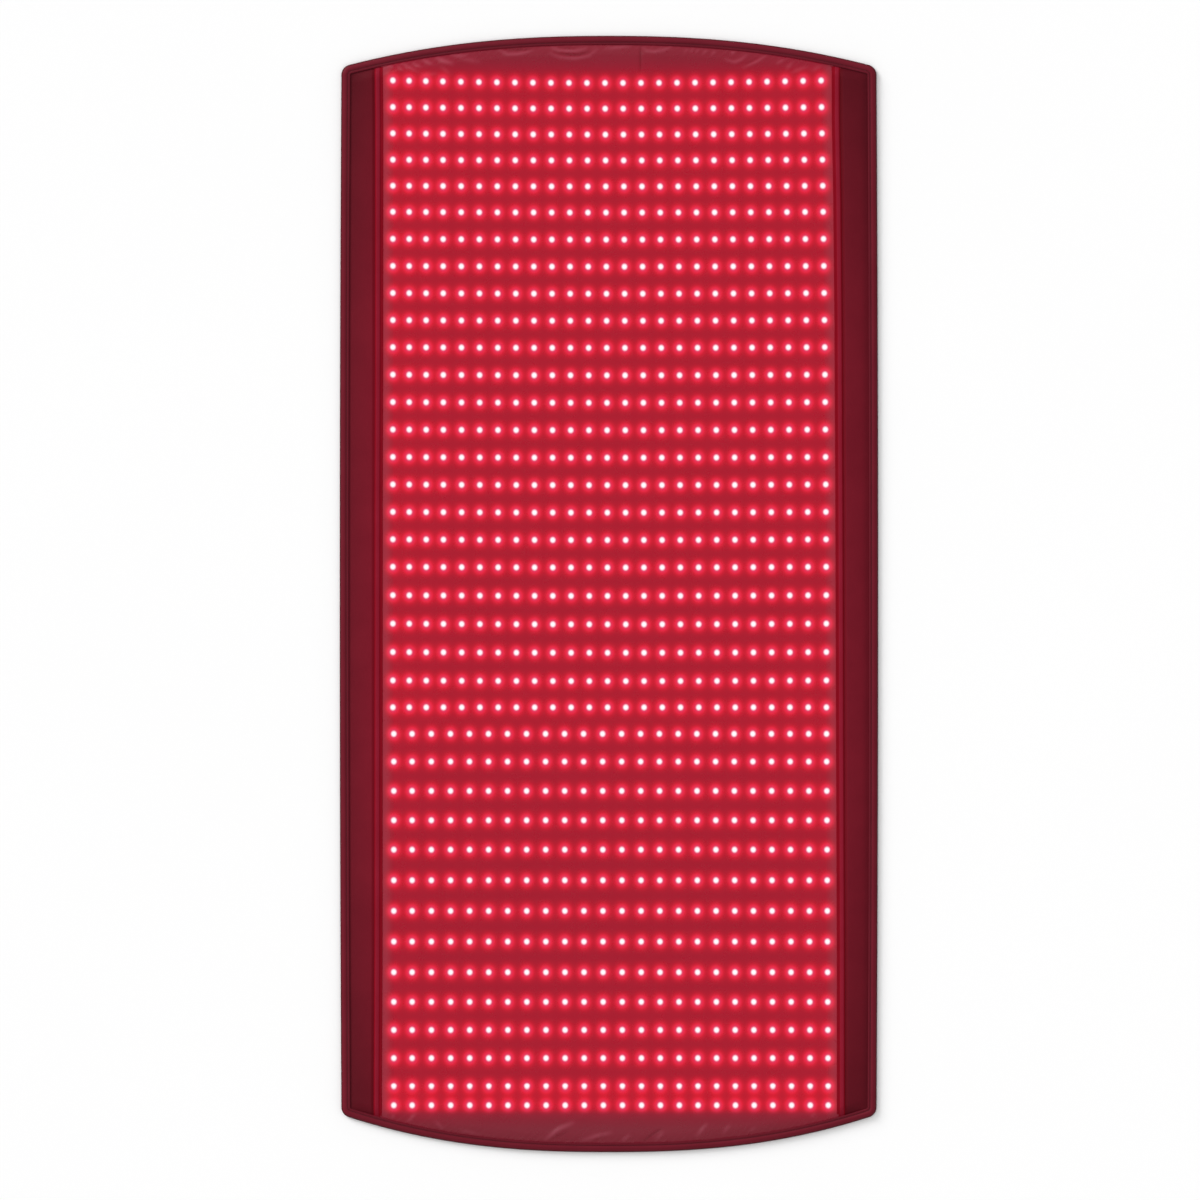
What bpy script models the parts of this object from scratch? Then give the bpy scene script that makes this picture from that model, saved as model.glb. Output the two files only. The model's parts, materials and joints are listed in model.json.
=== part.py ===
"""A red light therapy mat, laid open with its lamps facing up.

Lengths are metres, +Z is up and +Y runs to the head end. The origin is the middle of the underside.
The mat folds for storage along three lines between its rows of lamps, so it is made of four sections.
"""

import math

import bmesh
import bpy
from mathutils import Matrix, Vector

# The outline
mat_length = 1.800
mat_width = 0.867
side_bow = 0.003
corner_radius = 0.016
head_rise = 0.0468
head_curve_power = 2.3
foot_rise = 0.0565
foot_curve_power = 2.4

# What shows across the mat, from the edge inwards
binding_width = 0.014
border_width = 0.0395
welt_width = 0.0105

# The layers, from the floor up
back_cover_thickness = 0.0010
foam_under_lamps = 0.0060
reflector_thickness = 0.0004
strip_thickness = 0.0006
lamp_height = 0.0016
film_thickness = 0.0006
leathercloth_thickness = 0.0010

# Gaps between pieces
clearance = 0.0003
fold_gap = 0.0005
cut_overrun = 0.002
weld_distance = 0.00003

# The padding's edge: how thick it is there, and how far it takes to reach full height
foam_edge_height = 0.0041
flange_width = 0.015
cover_inset = 0.003
side_slope = 0.038
end_slope = 0.016

# The edge binding, a folded tape. The end pieces run past the corners by the tail.
binding_wall = 0.0010
binding_edge_round = 0.0012
binding_tail = 0.007

# The lamps and their strips
lamp_size = 0.0050
strip_width = 0.0080
rail_width = 0.0055
head_lamp_margin = 0.0095
foot_lamp_margin = 0.0041
head_row_bow = 0.0030
lamp_side_margin = 0.0208
head_block_right_margin = 0.0271
head_block_last_right_margin = 0.0184
foot_block_left_margin = 0.0221
foot_block_right_margin = 0.0169
bed_side_rim = 0.0050
bed_end_margin = 0.0055

# Runs of rows from the head end: how many gaps, and each gap as a share of the usual one
row_gap_shares = (
    (5, 0.949),
    (5, 0.986),
    (8, 1.0),
    (4, 1.035),
    (2, 0.964),
    (1, 1.01),
    (3, 1.07),
    (4, 1.116),
    (1, 1.08),
    (3, 1.024),
    (1, 0.694),
)
head_block_rows = 24
head_block_columns = 25
foot_block_columns = 24
# The first gaps of the head block's rows, as shares of the others
first_gap_shares = (0.90, 0.93, 0.945)
# The middle of the first row lies this share of its bend below the strip's middle line
row_bow_middle_share = 0.4

# The supply
wire_width = 0.0032
wire_thickness = 0.0004
terminal_box_length = 0.044
terminal_box_depth = 0.024
terminal_boss_length = 0.016
terminal_boss_depth = 0.006
inlet_width = 0.012
inlet_height = 0.0038
inlet_depth = 0.015
inlet_wall = 0.0006
inlet_mouth_depth = 0.009
inlet_recess = 0.0003
pin_width = 0.0020
pin_thickness = 0.0006
pin_length = 0.007
pin_spacing = 0.005
lead_width = 0.0060
lead_thickness = 0.0020

# Steps of the curved surfaces
arc_steps = 12
slope_steps = 3
corner_angles = (30, 60, 90)
binding_side_steps = 2
binding_arc_steps = 14
binding_corner_steps = 3

# Places that follow from the sizes
half_length = mat_length / 2
half_width = mat_width / 2
border_inner = half_width - binding_width - border_width
film_half = border_inner - welt_width
bed_half = film_half - bed_side_rim
rail_outer = bed_half - 2 * clearance
rail_inner = rail_outer - rail_width

foam_bottom = back_cover_thickness + clearance
bed_floor = foam_bottom + foam_under_lamps
reflector_bottom = bed_floor + clearance
strip_bottom = reflector_bottom + reflector_thickness + clearance
strip_middle = strip_bottom + strip_thickness / 2
lamp_top = strip_bottom + strip_thickness + lamp_height
foam_top = lamp_top
foam_edge_top = foam_bottom + foam_edge_height
cover_rise = foam_top - foam_edge_top
mat_top = foam_top + clearance + leathercloth_thickness
binding_height = foam_edge_top + clearance + leathercloth_thickness + clearance + binding_wall

# The folds: each flap lies on its panel, and the two folded halves lie on each other
flap_axis_height = mat_top + fold_gap / 2
folded_height = 2 * mat_top + fold_gap
middle_axis_height = folded_height + fold_gap / 2

# Colours, then roughness and metallic. The lamps show through the window film.
film_alpha = 0.35
finishes = {
    "film": ((0.55, 0.06, 0.09), 0.25, 0.0),
    "lamp": ((1.0, 0.72, 0.76), 0.3, 0.0),
    "reflector": ((0.80, 0.10, 0.16), 0.6, 0.0),
    "copper": ((0.72, 0.38, 0.22), 0.35, 1.0),
    "brass": ((0.75, 0.58, 0.25), 0.3, 1.0),
    "foam": ((0.12, 0.11, 0.11), 0.9, 0.0),
    "back_cloth": ((0.07, 0.07, 0.08), 0.8, 0.0),
    "leathercloth": ((0.14, 0.012, 0.02), 0.5, 0.0),
    "welt": ((0.20, 0.012, 0.026), 0.45, 0.0),
    "binding": ((0.13, 0.014, 0.024), 0.55, 0.0),
    "moulded": ((0.03, 0.03, 0.035), 0.5, 0.0),
    "lead": ((0.02, 0.02, 0.022), 0.55, 0.0),
}

for existing in list(bpy.data.objects):
    bpy.data.objects.remove(existing)

parts = bpy.data.collections.new("red_light_therapy_mat")
helpers = bpy.data.collections.new("cutters_and_profiles")
bpy.context.scene.collection.children.link(parts)
bpy.context.scene.collection.children.link(helpers)


def finish(name, kind):
    """The Principled material of one sub-part."""
    colour, roughness, metallic = finishes[kind]
    material = bpy.data.materials.new(name)
    material.use_nodes = True
    shader = material.node_tree.nodes["Principled BSDF"]
    shader.inputs["Base Color"].default_value = (*colour, 1.0)
    shader.inputs["Roughness"].default_value = roughness
    shader.inputs["Metallic"].default_value = metallic
    shader.inputs["Alpha"].default_value = film_alpha if kind == "film" else 1.0
    material.diffuse_color = (*colour, 1.0)
    return material


def mesh_data(name, mesh):
    """The mesh data that a bmesh holds."""
    data = bpy.data.meshes.new(name)
    mesh.to_mesh(data)
    mesh.free()
    return data


def add_part(name, mesh, kind):
    """A finished sub-part from a bmesh, in the part's collection."""
    data = mesh_data(name, mesh)
    data.materials.append(finish(name, kind))
    obj = bpy.data.objects.new(name, data)
    parts.objects.link(obj)
    return obj


def add_helper(name, data):
    """A cutter or a profile, which isn't a piece of the mat."""
    obj = bpy.data.objects.new(name, data)
    obj.hide_render = True
    obj.display_type = "WIRE"
    helpers.objects.link(obj)
    return obj


def add_block(mesh, low, high):
    """Adds a box between two corners to a bmesh."""
    low, high = Vector(low), Vector(high)
    place = Matrix.Translation((low + high) / 2) @ Matrix.Diagonal((*(high - low), 1.0))
    bmesh.ops.create_cube(mesh, size=1.0, matrix=place)


def block_part(name, kind, low, high):
    """A box-shaped sub-part between two corners."""
    mesh = bmesh.new()
    add_block(mesh, low, high)
    return add_part(name, mesh, kind)


def cut(obj, name, *boxes):
    """Takes boxes, each given by its two corners, out of a sub-part."""
    mesh = bmesh.new()
    for low, high in boxes:
        add_block(mesh, low, high)
    modify(obj, name, mesh, "DIFFERENCE")


def join(obj, name, mesh):
    """Joins the shapes of a bmesh to a sub-part that they reach into."""
    modify(obj, name, mesh, "UNION")


def modify(obj, name, mesh, operation):
    """Adds a Boolean with the shapes of a bmesh to a sub-part."""
    modifier = obj.modifiers.new(name, "BOOLEAN")
    modifier.operation = operation
    modifier.object = add_helper(name, mesh_data(name, mesh))


def evenly(start, stop, steps):
    """Places from start to stop, both included."""
    return [start + (stop - start) * step / steps for step in range(steps + 1)]


def crown(share):
    """How much of its full rise the padding has, at a share of the way up its slope."""
    share = min(max(share, 0.0), 1.0)
    return 1 - (1 - share) ** 2


def side_edge(y):
    """Half the mat's width at a place along its length."""
    return half_width - side_bow * (y / half_length) ** 2


def end_shape(end):
    """An end's curve and the corner circles that it runs into, for the head (1) or the foot (-1)."""
    rise, power = (head_rise, head_curve_power) if end > 0 else (foot_rise, foot_curve_power)
    corner_x = side_edge(half_length - rise) - corner_radius
    lean = math.atan(rise * power / corner_x)
    arc_reach = corner_x + corner_radius * math.sin(lean)
    corner_y = half_length - rise - corner_radius * math.cos(lean)
    return rise, power, corner_x, corner_y, lean, arc_reach


def end_edge(end, x, inset):
    """How far the head's (1) or the foot's (-1) edge is from the middle, moved in by an inset."""
    rise, power, corner_x, corner_y, lean, arc_reach = end_shape(end)
    radius = corner_radius - inset
    reach = abs(x)
    if radius > 0 and reach > corner_x + radius * math.sin(lean):
        past = min(reach - corner_x, radius)
        return corner_y + math.sqrt(radius**2 - past**2)
    fall = rise * (reach / arc_reach) ** power
    slope = fall * power / reach if reach > 0 else 0.0
    return half_length - fall - inset * math.hypot(1, slope)


def corner_place(end):
    """How far from the middle a straight side gives way to its rounded corner."""
    return end_shape(end)[3]


def padding_top(x, y):
    """Height of the foam's upper surface, which falls off towards the mat's edges."""
    from_side = side_edge(y) - abs(x)
    end = 1 if y > 0 else -1
    from_end = end_edge(end, x, 0.0) - abs(y)
    side_share = crown((from_side - flange_width) / side_slope)
    end_share = crown((from_end - flange_width) / end_slope)
    return foam_edge_top + cover_rise * side_share * end_share


def block_ends(row):
    """Leftmost and rightmost lamp centres of a row."""
    if row >= head_block_rows:
        return foot_block_left_margin - film_half, film_half - foot_block_right_margin
    along = row / (head_block_rows - 1)
    spread = head_block_right_margin - head_block_last_right_margin
    return lamp_side_margin - film_half, film_half - head_block_right_margin + spread * along


def lamp_columns(row):
    """Lamp centres across one row."""
    left, right = block_ends(row)
    if row >= head_block_rows:
        return evenly(left, right, foot_block_columns - 1)
    others = head_block_columns - 1 - len(first_gap_shares)
    gaps = list(first_gap_shares) + [1.0] * others
    scale = (right - left) / sum(gaps)
    return [left + scale * sum(gaps[:column]) for column in range(head_block_columns)]


def lamp_rows():
    """Places of the rows along the mat, from the head end to the foot end."""
    gaps = [share for count, share in row_gap_shares for _ in range(count)]
    head_reach = lamp_side_margin - film_half
    foot_reach = film_half - foot_block_right_margin
    edge = flange_width + end_slope + lamp_size / 2
    first = end_edge(1, head_reach, 0.0) - edge - head_lamp_margin
    last = -(end_edge(-1, foot_reach, 0.0) - edge - foot_lamp_margin)
    scale = (first - last) / sum(gaps)
    return [first - scale * sum(gaps[:row]) for row in range(len(gaps) + 1)]


def row_bow(row, x):
    """How far a lamp stands off its strip's middle line. The ends of the first row bend to the head."""
    return head_row_bow * ((x / film_half) ** 2 - row_bow_middle_share) if row == 0 else 0.0


rows = lamp_rows()

# The rows that each section holds, counted from the head end
section_rows = {
    "head_flap": range(0, 9),
    "head_panel": range(9, 20),
    "foot_panel": range(20, 30),
    "foot_flap": range(30, len(rows)),
}


def fold_line(row):
    """A fold lies half way between a row and the next."""
    return (rows[row] + rows[row + 1]) / 2


head_fold_y = fold_line(section_rows["head_flap"][-1])
middle_fold_y = fold_line(section_rows["head_panel"][-1])
foot_fold_y = fold_line(section_rows["foot_panel"][-1])
half_gap = fold_gap / 2

# Each section's two limits along the mat. None is an end of the mat.
section_limits = {
    "head_flap": (head_fold_y + half_gap, None),
    "head_panel": (middle_fold_y + half_gap, head_fold_y - half_gap),
    "foot_panel": (foot_fold_y + half_gap, middle_fold_y - half_gap),
    "foot_flap": (None, foot_fold_y - half_gap),
}


def end_steps(inset):
    """Distances from a cover's own curved end at which its surface has a row of points."""
    flange = flange_width - inset
    return [0.0] + evenly(flange, flange + end_slope, slope_steps)


def surface_rows(section, inset, steps):
    """The rows of points of a cover, from the foot side to the head side, as functions of x."""
    low, high = section_limits[section]
    found = []
    if low is None:
        found += [(-1, step) for step in steps]
    else:
        found.append((0, low))
    if high is None:
        found += [(1, step) for step in reversed(steps)]
    else:
        found.append((0, high))
    return [(end, place, inset) for end, place in found]


def row_place(row, x):
    """Where a row of points lies along the mat at a place across it."""
    end, place, inset = row
    return end * (end_edge(end, x, inset) - place) if end else place


def row_side(row):
    """Half the mat's width where a row of points meets the side."""
    end, place, _ = row
    return side_edge(corner_place(end) if end else place)


def surface(columns, grid_rows, height):
    """A grid of quads over the mat: columns(side edge) gives x, and height(x, y) gives z."""
    count = len(columns(half_width))
    mesh = bmesh.new()
    bmesh.ops.create_grid(mesh, x_segments=count - 1, y_segments=len(grid_rows) - 1, size=1.0)
    for vertex in mesh.verts:
        column = round((vertex.co.x + 1) / 2 * (count - 1))
        row = grid_rows[round((vertex.co.y + 1) / 2 * (len(grid_rows) - 1))]
        x = columns(row_side(row))[column]
        y = row_place(row, x)
        vertex.co = (x, y, height(x, y))
    return mesh


def add_cover(name, mesh, thickness, kind):
    """A cover made from its lower surface, thickened upwards."""
    for face in mesh.faces:
        face.normal_update()
        if face.normal.z < 0:
            face.normal_flip()
    obj = add_part(name, mesh, kind)
    wall = obj.modifiers.new("thickness", "SOLIDIFY")
    wall.thickness = thickness
    wall.offset = 1.0
    return obj


def cover_seat(x, y):
    """Height of the underside of what lies on the foam."""
    return padding_top(x, y) + clearance


def edge_columns(inner, side):
    """From the border's inner edge down the slope to the padding's edge, with its rounded corner."""
    bend = corner_radius - cover_inset
    rounded = [side - corner_radius + bend * math.sin(math.radians(a)) for a in corner_angles]
    return evenly(inner, side - flange_width, slope_steps) + rounded


def border_columns(side):
    """Across a side border, from the welt to the edge under the binding."""
    return edge_columns(border_inner + clearance, side)


def foam_columns(side):
    """Across the whole foam core."""
    outer = edge_columns(border_inner, side)
    return [-x for x in reversed(outer)] + evenly(-film_half, film_half, arc_steps) + outer


def film_columns(side):
    """Across the window film, which meets the welts."""
    return evenly(clearance - film_half, film_half - clearance, arc_steps)


def back_columns(side):
    """Across the back cover, between the binding's lower lips."""
    reach = side - binding_width - 2 * clearance
    return evenly(-reach, reach, arc_steps)


def mirrored(columns, side):
    """The same columns on the left (-1) or on the right (1) of the mat, from left to right."""
    return lambda edge: sorted(side * x for x in columns(edge))


def end_of_bed(end):
    """How far from the middle the foam's bed for the lamps stops at an end of the mat."""
    row = rows[0] if end > 0 else rows[-1]
    return abs(row) + strip_width / 2 + bed_end_margin


def flat_limits(section, shrink):
    """A section's limits along the mat for what lies in the bed."""
    low, high = section_limits[section]
    low = shrink - end_of_bed(-1) if low is None else low
    high = end_of_bed(1) - shrink if high is None else high
    return low, high


def add_lamp_ladder(section):
    """A section's lamps on their circuit strips, which two flat rails down the sides join and feed."""
    low, high = flat_limits(section, clearance)
    top = strip_bottom + strip_thickness
    ladder = block_part(
        f"{section}_lamp_ladder", "lamp", (-rail_outer, low, strip_bottom), (rail_outer, high, top)
    )

    edges = [low - cut_overrun]
    for row in reversed(section_rows[section]):
        edges += [rows[row] - strip_width / 2, rows[row] + strip_width / 2]
    edges.append(high + cut_overrun)
    windows = [
        ((-rail_inner, start, strip_bottom - cut_overrun), (rail_inner, stop, top + cut_overrun))
        for start, stop in zip(edges[::2], edges[1::2])
    ]
    cut(ladder, f"{section}_windows", *windows)

    lamps = bmesh.new()
    half = lamp_size / 2
    for row in section_rows[section]:
        for x in lamp_columns(row):
            y = rows[row] + row_bow(row, x)
            low, high = (x - half, y - half, strip_middle), (x + half, y + half, lamp_top)
            add_block(lamps, low, high)
    join(ladder, f"{section}_lamps", lamps)
    return ladder


def add_foam(section):
    """The foam core, with a bed for the lamp strips and edges that thin out."""
    covered_rows = surface_rows(section, cover_inset, end_steps(cover_inset))
    mesh = surface(foam_columns, covered_rows, padding_top)
    lowered = bmesh.ops.extrude_face_region(mesh, geom=mesh.faces[:])
    for vertex in [v for v in lowered["geom"] if isinstance(v, bmesh.types.BMVert)]:
        vertex.co.z = foam_bottom
    bmesh.ops.recalc_face_normals(mesh, faces=mesh.faces)
    obj = add_part(f"{section}_foam_core", mesh, "foam")
    low, high = flat_limits(section, 0.0)
    low -= cut_overrun if section_limits[section][0] is not None else 0.0
    high += cut_overrun if section_limits[section][1] is not None else 0.0
    cut(obj, f"{section}_bed", ((-bed_half, low, bed_floor), (bed_half, high, mat_top + cut_overrun)))
    return obj


def binding_profile():
    """The folded tape's cross-section about its middle line: +X outwards, +Y up from the floor."""
    half = binding_width / 2
    inside = half - binding_wall
    edge = binding_edge_round
    points = [
        (-half, 0.0),
        (half - edge, 0.0),
        (half, edge),
        (half, binding_height - edge),
        (half - edge, binding_height),
        (-half, binding_height),
        (-half, binding_height - binding_wall),
        (inside, binding_height - binding_wall),
        (inside, binding_wall),
        (-half, binding_wall),
    ]
    curve = bpy.data.curves.new("binding_profile", "CURVE")
    curve.dimensions = "2D"
    spline = curve.splines.new("POLY")
    spline.points.add(len(points) - 1)
    for point, place in zip(spline.points, points):
        point.co = (*place, 0.0, 1.0)
    spline.use_cyclic_u = True
    return add_helper("binding_profile", curve)


profile = binding_profile()


def add_binding(name, path):
    """The folded tape along a path on the floor, with the mat on the path's left."""
    curve = bpy.data.curves.new(name, "CURVE")
    curve.dimensions = "3D"
    curve.twist_mode = "Z_UP"
    curve.bevel_mode = "OBJECT"
    curve.bevel_object = profile
    curve.use_fill_caps = True
    spline = curve.splines.new("POLY")
    spline.points.add(len(path) - 1)
    for point, place in zip(spline.points, path):
        point.co = (*place, 0.0, 1.0)
    guide = add_helper(f"{name}_path", curve)
    graph = bpy.context.evaluated_depsgraph_get()
    swept = bpy.data.meshes.new_from_object(guide.evaluated_get(graph))
    mesh = bmesh.new()
    mesh.from_mesh(swept)
    bmesh.ops.remove_doubles(mesh, verts=mesh.verts, dist=weld_distance)
    bmesh.ops.recalc_face_normals(mesh, faces=mesh.faces)
    bpy.data.objects.remove(guide)
    bpy.data.meshes.remove(swept)
    return add_part(name, mesh, "binding")


def side_binding_path(section, side):
    """The binding's middle line along one side of a section."""
    low, high = section_limits[section]
    short = binding_tail + clearance
    low = short - corner_place(-1) if low is None else low
    high = corner_place(1) - short if high is None else high
    along = evenly(low, high, binding_side_steps)
    path = [(side * (side_edge(y) - binding_width / 2), y) for y in along]
    return path if side > 0 else path[::-1]


def end_binding_path(end):
    """The binding's middle line round an end, from one corner to the other."""
    _, _, corner_x, corner_y, lean, _ = end_shape(end)
    middle = corner_radius - binding_width / 2
    turns = evenly(0, math.radians(90) - lean, binding_corner_steps)
    corner = [(corner_x + middle, corner_y - binding_tail)]
    for turn in turns:
        corner.append((corner_x + middle * math.cos(turn), corner_y + middle * math.sin(turn)))
    arc_end = corner[-1][0]
    across = evenly(arc_end, -arc_end, binding_arc_steps)[1:-1]
    arc = [(x, end_edge(end, x, binding_width / 2)) for x in across]
    path = corner + arc + [(-x, y) for x, y in reversed(corner)]
    return path if end > 0 else [(-x, -y) for x, y in path]


def add_section(section):
    """All that a section of the mat has, whichever section it is."""
    low, high = flat_limits(section, clearance)
    covered_rows = surface_rows(section, cover_inset, end_steps(cover_inset))

    film = surface(film_columns, covered_rows, cover_seat)
    found = [
        add_cover(f"{section}_window_film", film, film_thickness, "film"),
        add_lamp_ladder(section),
        block_part(
            f"{section}_reflector_sheet",
            "reflector",
            (clearance - bed_half, low, reflector_bottom),
            (bed_half - clearance, high, reflector_bottom + reflector_thickness),
        ),
        add_foam(section),
    ]

    back_rows = surface_rows(section, binding_width + 2 * clearance, [0.0])
    back = surface(back_columns, back_rows, lambda x, y: 0.0)
    found.append(add_cover(f"{section}_back_cover", back, back_cover_thickness, "back_cloth"))

    for side, word in ((-1, "left"), (1, "right")):
        border = surface(mirrored(border_columns, side), covered_rows, cover_seat)
        welt = surface(
            mirrored(lambda edge: [film_half, border_inner], side), covered_rows, cover_seat
        )
        border_name, welt_name = f"{section}_{word}_border", f"{section}_{word}_welt"
        found.append(add_cover(border_name, border, leathercloth_thickness, "leathercloth"))
        found.append(add_cover(welt_name, welt, leathercloth_thickness, "welt"))
        found.append(add_binding(f"{section}_{word}_binding", side_binding_path(section, side)))
    return found


def add_supply(foot_foam, foot_binding, foot_reflector):
    """The low-voltage inlet in the foot binding, its lead, the terminal box and the rails' wires."""
    edge = -half_length + inlet_recess
    box_high = -end_of_bed(-1) + bed_end_margin + terminal_box_depth / 2
    box_low = box_high - terminal_box_depth
    half_box = terminal_box_length / 2
    half_boss = terminal_boss_length / 2
    wire_low = -end_of_bed(-1) + clearance
    wire_high = wire_low + wire_width
    boss_high = wire_low + terminal_boss_depth
    boss_top = strip_bottom - clearance
    inlet_back = edge + inlet_depth
    inlet_half = inlet_width / 2
    inlet_top = foam_bottom + inlet_height
    lead_half = lead_width / 2
    lead_top = foam_bottom + lead_thickness

    # The box sits in a pocket through the bed's floor, and its boss comes up through the reflector.
    mesh = bmesh.new()
    add_block(mesh, (-half_box, box_low, foam_bottom), (half_box, box_high, bed_floor))
    box = add_part("terminal_box", mesh, "moulded")
    mesh = bmesh.new()
    add_block(mesh, (-half_boss, wire_low, foam_bottom + clearance), (half_boss, boss_high, boss_top))
    join(box, "terminal_boss", mesh)
    terminal_pocket = (
        (-half_box - clearance, box_low - clearance, -cut_overrun),
        (half_box + clearance, box_high + clearance, bed_floor + clearance),
    )
    boss_notch = (
        (-half_boss - clearance, wire_low - cut_overrun, 0.0),
        (half_boss + clearance, boss_high + clearance, mat_top),
    )
    cut(foot_reflector, "boss_notch", boss_notch)

    socket = block_part(
        "inlet_socket", "moulded", (-inlet_half, edge, foam_bottom), (inlet_half, inlet_back, inlet_top)
    )
    inlet_mouth = (
        (inlet_wall - inlet_half, edge - cut_overrun, foam_bottom + inlet_wall),
        (inlet_half - inlet_wall, edge + inlet_mouth_depth, inlet_top - inlet_wall),
    )
    cut(socket, "inlet_mouth", inlet_mouth)
    pin_back = edge + inlet_mouth_depth - clearance
    pin_middle = foam_bottom + inlet_height / 2
    pins = [
        (
            (x - pin_width / 2, pin_back - pin_length, pin_middle - pin_thickness / 2),
            (x + pin_width / 2, pin_back, pin_middle + pin_thickness / 2),
        )
        for x in (-pin_spacing / 2, pin_spacing / 2)
    ]
    lead = (
        (-lead_half, inlet_back + clearance, foam_bottom),
        (lead_half, box_low - clearance, lead_top),
    )
    wires = [
        (
            (min(side * rail_inner, 0.0) + clearance, wire_low, strip_bottom),
            (max(side * rail_inner, 0.0) - clearance, wire_high, strip_bottom + wire_thickness),
        )
        for side in (-1, 1)
    ]
    inlet_pocket = (
        (-inlet_half - clearance, edge - cut_overrun, -cut_overrun),
        (inlet_half + clearance, inlet_back + clearance, mat_top),
    )
    lead_channel = (
        (-lead_half - clearance, inlet_back, -cut_overrun),
        (lead_half + clearance, box_low, lead_top + clearance),
    )
    inlet_hole = (
        (-inlet_half - clearance, -half_length - cut_overrun, foam_bottom - clearance / 2),
        (inlet_half + clearance, cover_inset - half_length, inlet_top + clearance),
    )
    cut(foot_foam, "terminal_pocket", terminal_pocket)
    cut(foot_foam, "inlet_pocket", inlet_pocket)
    cut(foot_foam, "lead_channel", lead_channel)
    cut(foot_binding, "inlet_hole", inlet_hole)
    return [
        box,
        socket,
        block_part("inlet_left_pin", "brass", *pins[0]),
        block_part("inlet_right_pin", "brass", *pins[1]),
        block_part("inner_lead", "lead", *lead),
        block_part("left_supply_wire", "copper", *wires[0]),
        block_part("right_supply_wire", "copper", *wires[1]),
    ]


section_parts = {section: add_section(section) for section in section_rows}
head_end_binding = add_binding("head_end_binding", end_binding_path(1))
foot_end_binding = add_binding("foot_end_binding", end_binding_path(-1))
section_parts["head_flap"].append(head_end_binding)
section_parts["foot_flap"].append(foot_end_binding)
section_parts["foot_flap"] += add_supply(
    bpy.data.objects["foot_flap_foam_core"],
    foot_end_binding,
    bpy.data.objects["foot_flap_reflector_sheet"],
)


def add_fold(name, y, height, carrier):
    """An empty on a fold's axis, carried by the one that the fold hangs from."""
    empty = bpy.data.objects.new(name, None)
    parts.objects.link(empty)
    empty.location = (0.0, y, height)
    if carrier is not None:
        empty.parent = carrier
        empty.location.y -= carrier.location.y
        empty.location.z -= carrier.location.z
    return empty


middle_fold = add_fold("middle_fold", middle_fold_y, middle_axis_height, None)
head_flap_fold = add_fold("head_flap_fold", head_fold_y, flap_axis_height, middle_fold)
foot_flap_fold = add_fold("foot_flap_fold", foot_fold_y, flap_axis_height, None)
bpy.context.view_layer.update()

for section, fold in (
    ("head_flap", head_flap_fold),
    ("head_panel", middle_fold),
    ("foot_flap", foot_flap_fold),
):
    for piece in section_parts[section]:
        piece.parent = fold
        piece.matrix_parent_inverse = fold.matrix_world.inverted()
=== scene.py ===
import json
import math

import bmesh
import bpy
import numpy as np
from mathutils import Matrix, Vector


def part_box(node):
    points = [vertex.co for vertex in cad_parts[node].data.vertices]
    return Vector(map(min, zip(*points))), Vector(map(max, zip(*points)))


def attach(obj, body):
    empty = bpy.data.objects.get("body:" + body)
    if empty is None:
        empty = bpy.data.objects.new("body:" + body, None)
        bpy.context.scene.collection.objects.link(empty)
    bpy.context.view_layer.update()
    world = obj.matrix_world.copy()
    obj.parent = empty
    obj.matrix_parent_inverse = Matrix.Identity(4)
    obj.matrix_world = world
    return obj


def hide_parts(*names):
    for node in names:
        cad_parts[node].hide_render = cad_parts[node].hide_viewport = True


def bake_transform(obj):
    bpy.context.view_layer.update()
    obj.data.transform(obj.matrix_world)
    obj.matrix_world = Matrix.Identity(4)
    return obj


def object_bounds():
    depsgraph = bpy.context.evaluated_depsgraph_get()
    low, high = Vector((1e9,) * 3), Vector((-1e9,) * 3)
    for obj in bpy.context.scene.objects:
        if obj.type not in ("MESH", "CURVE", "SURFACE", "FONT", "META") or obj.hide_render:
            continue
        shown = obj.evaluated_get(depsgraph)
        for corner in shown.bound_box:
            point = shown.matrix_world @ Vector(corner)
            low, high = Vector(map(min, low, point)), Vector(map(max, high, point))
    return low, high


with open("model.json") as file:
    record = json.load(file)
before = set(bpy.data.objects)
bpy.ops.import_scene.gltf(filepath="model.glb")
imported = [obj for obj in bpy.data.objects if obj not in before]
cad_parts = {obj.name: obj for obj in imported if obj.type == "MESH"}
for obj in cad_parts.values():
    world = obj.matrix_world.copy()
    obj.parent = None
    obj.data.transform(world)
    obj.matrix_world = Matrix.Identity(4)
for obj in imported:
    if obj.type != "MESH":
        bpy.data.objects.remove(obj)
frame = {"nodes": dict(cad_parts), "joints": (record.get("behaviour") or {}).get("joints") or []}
cad_box = [list(corner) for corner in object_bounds()]


# The foam pad. It is one sheet of closed-cell foam, thinned along its edges for the binding and
# hollowed out over its middle for the lamp strips. It is made in three lengths, and each length
# spans one of the mat's three folds, where the mat bends.
half_width = (cad_box[1][0] - cad_box[0][0]) / 2
half_length = (cad_box[1][1] - cad_box[0][1]) / 2
side_bow = 0.003
corner_radius = 0.016
end_rise = {1: 0.0468, -1: 0.0565}
end_power = {1: 2.3, -1: 2.4}

folds = {joint["name"]: joint["pos_m"][1] for joint in frame["joints"]}
fold_reach = {"head": 0.008, "middle": 0.013, "foot": 0.0045}
fold_lines = 21
end_margin = 0.036
lengths = {
    "head": ("head_panel", "head_flap", "head_flap_fold"),
    "middle": ("foot_panel", "head_panel", "middle_fold"),
    "foot": ("foot_flap", "foot_panel", "foot_flap_fold"),
}
length_sections = {"head": ("head_flap", "head_panel"), "middle": ("foot_panel",), "foot": ("foot_flap",)}
head_meeting = 0.24255
foot_meeting = -0.24810

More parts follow.
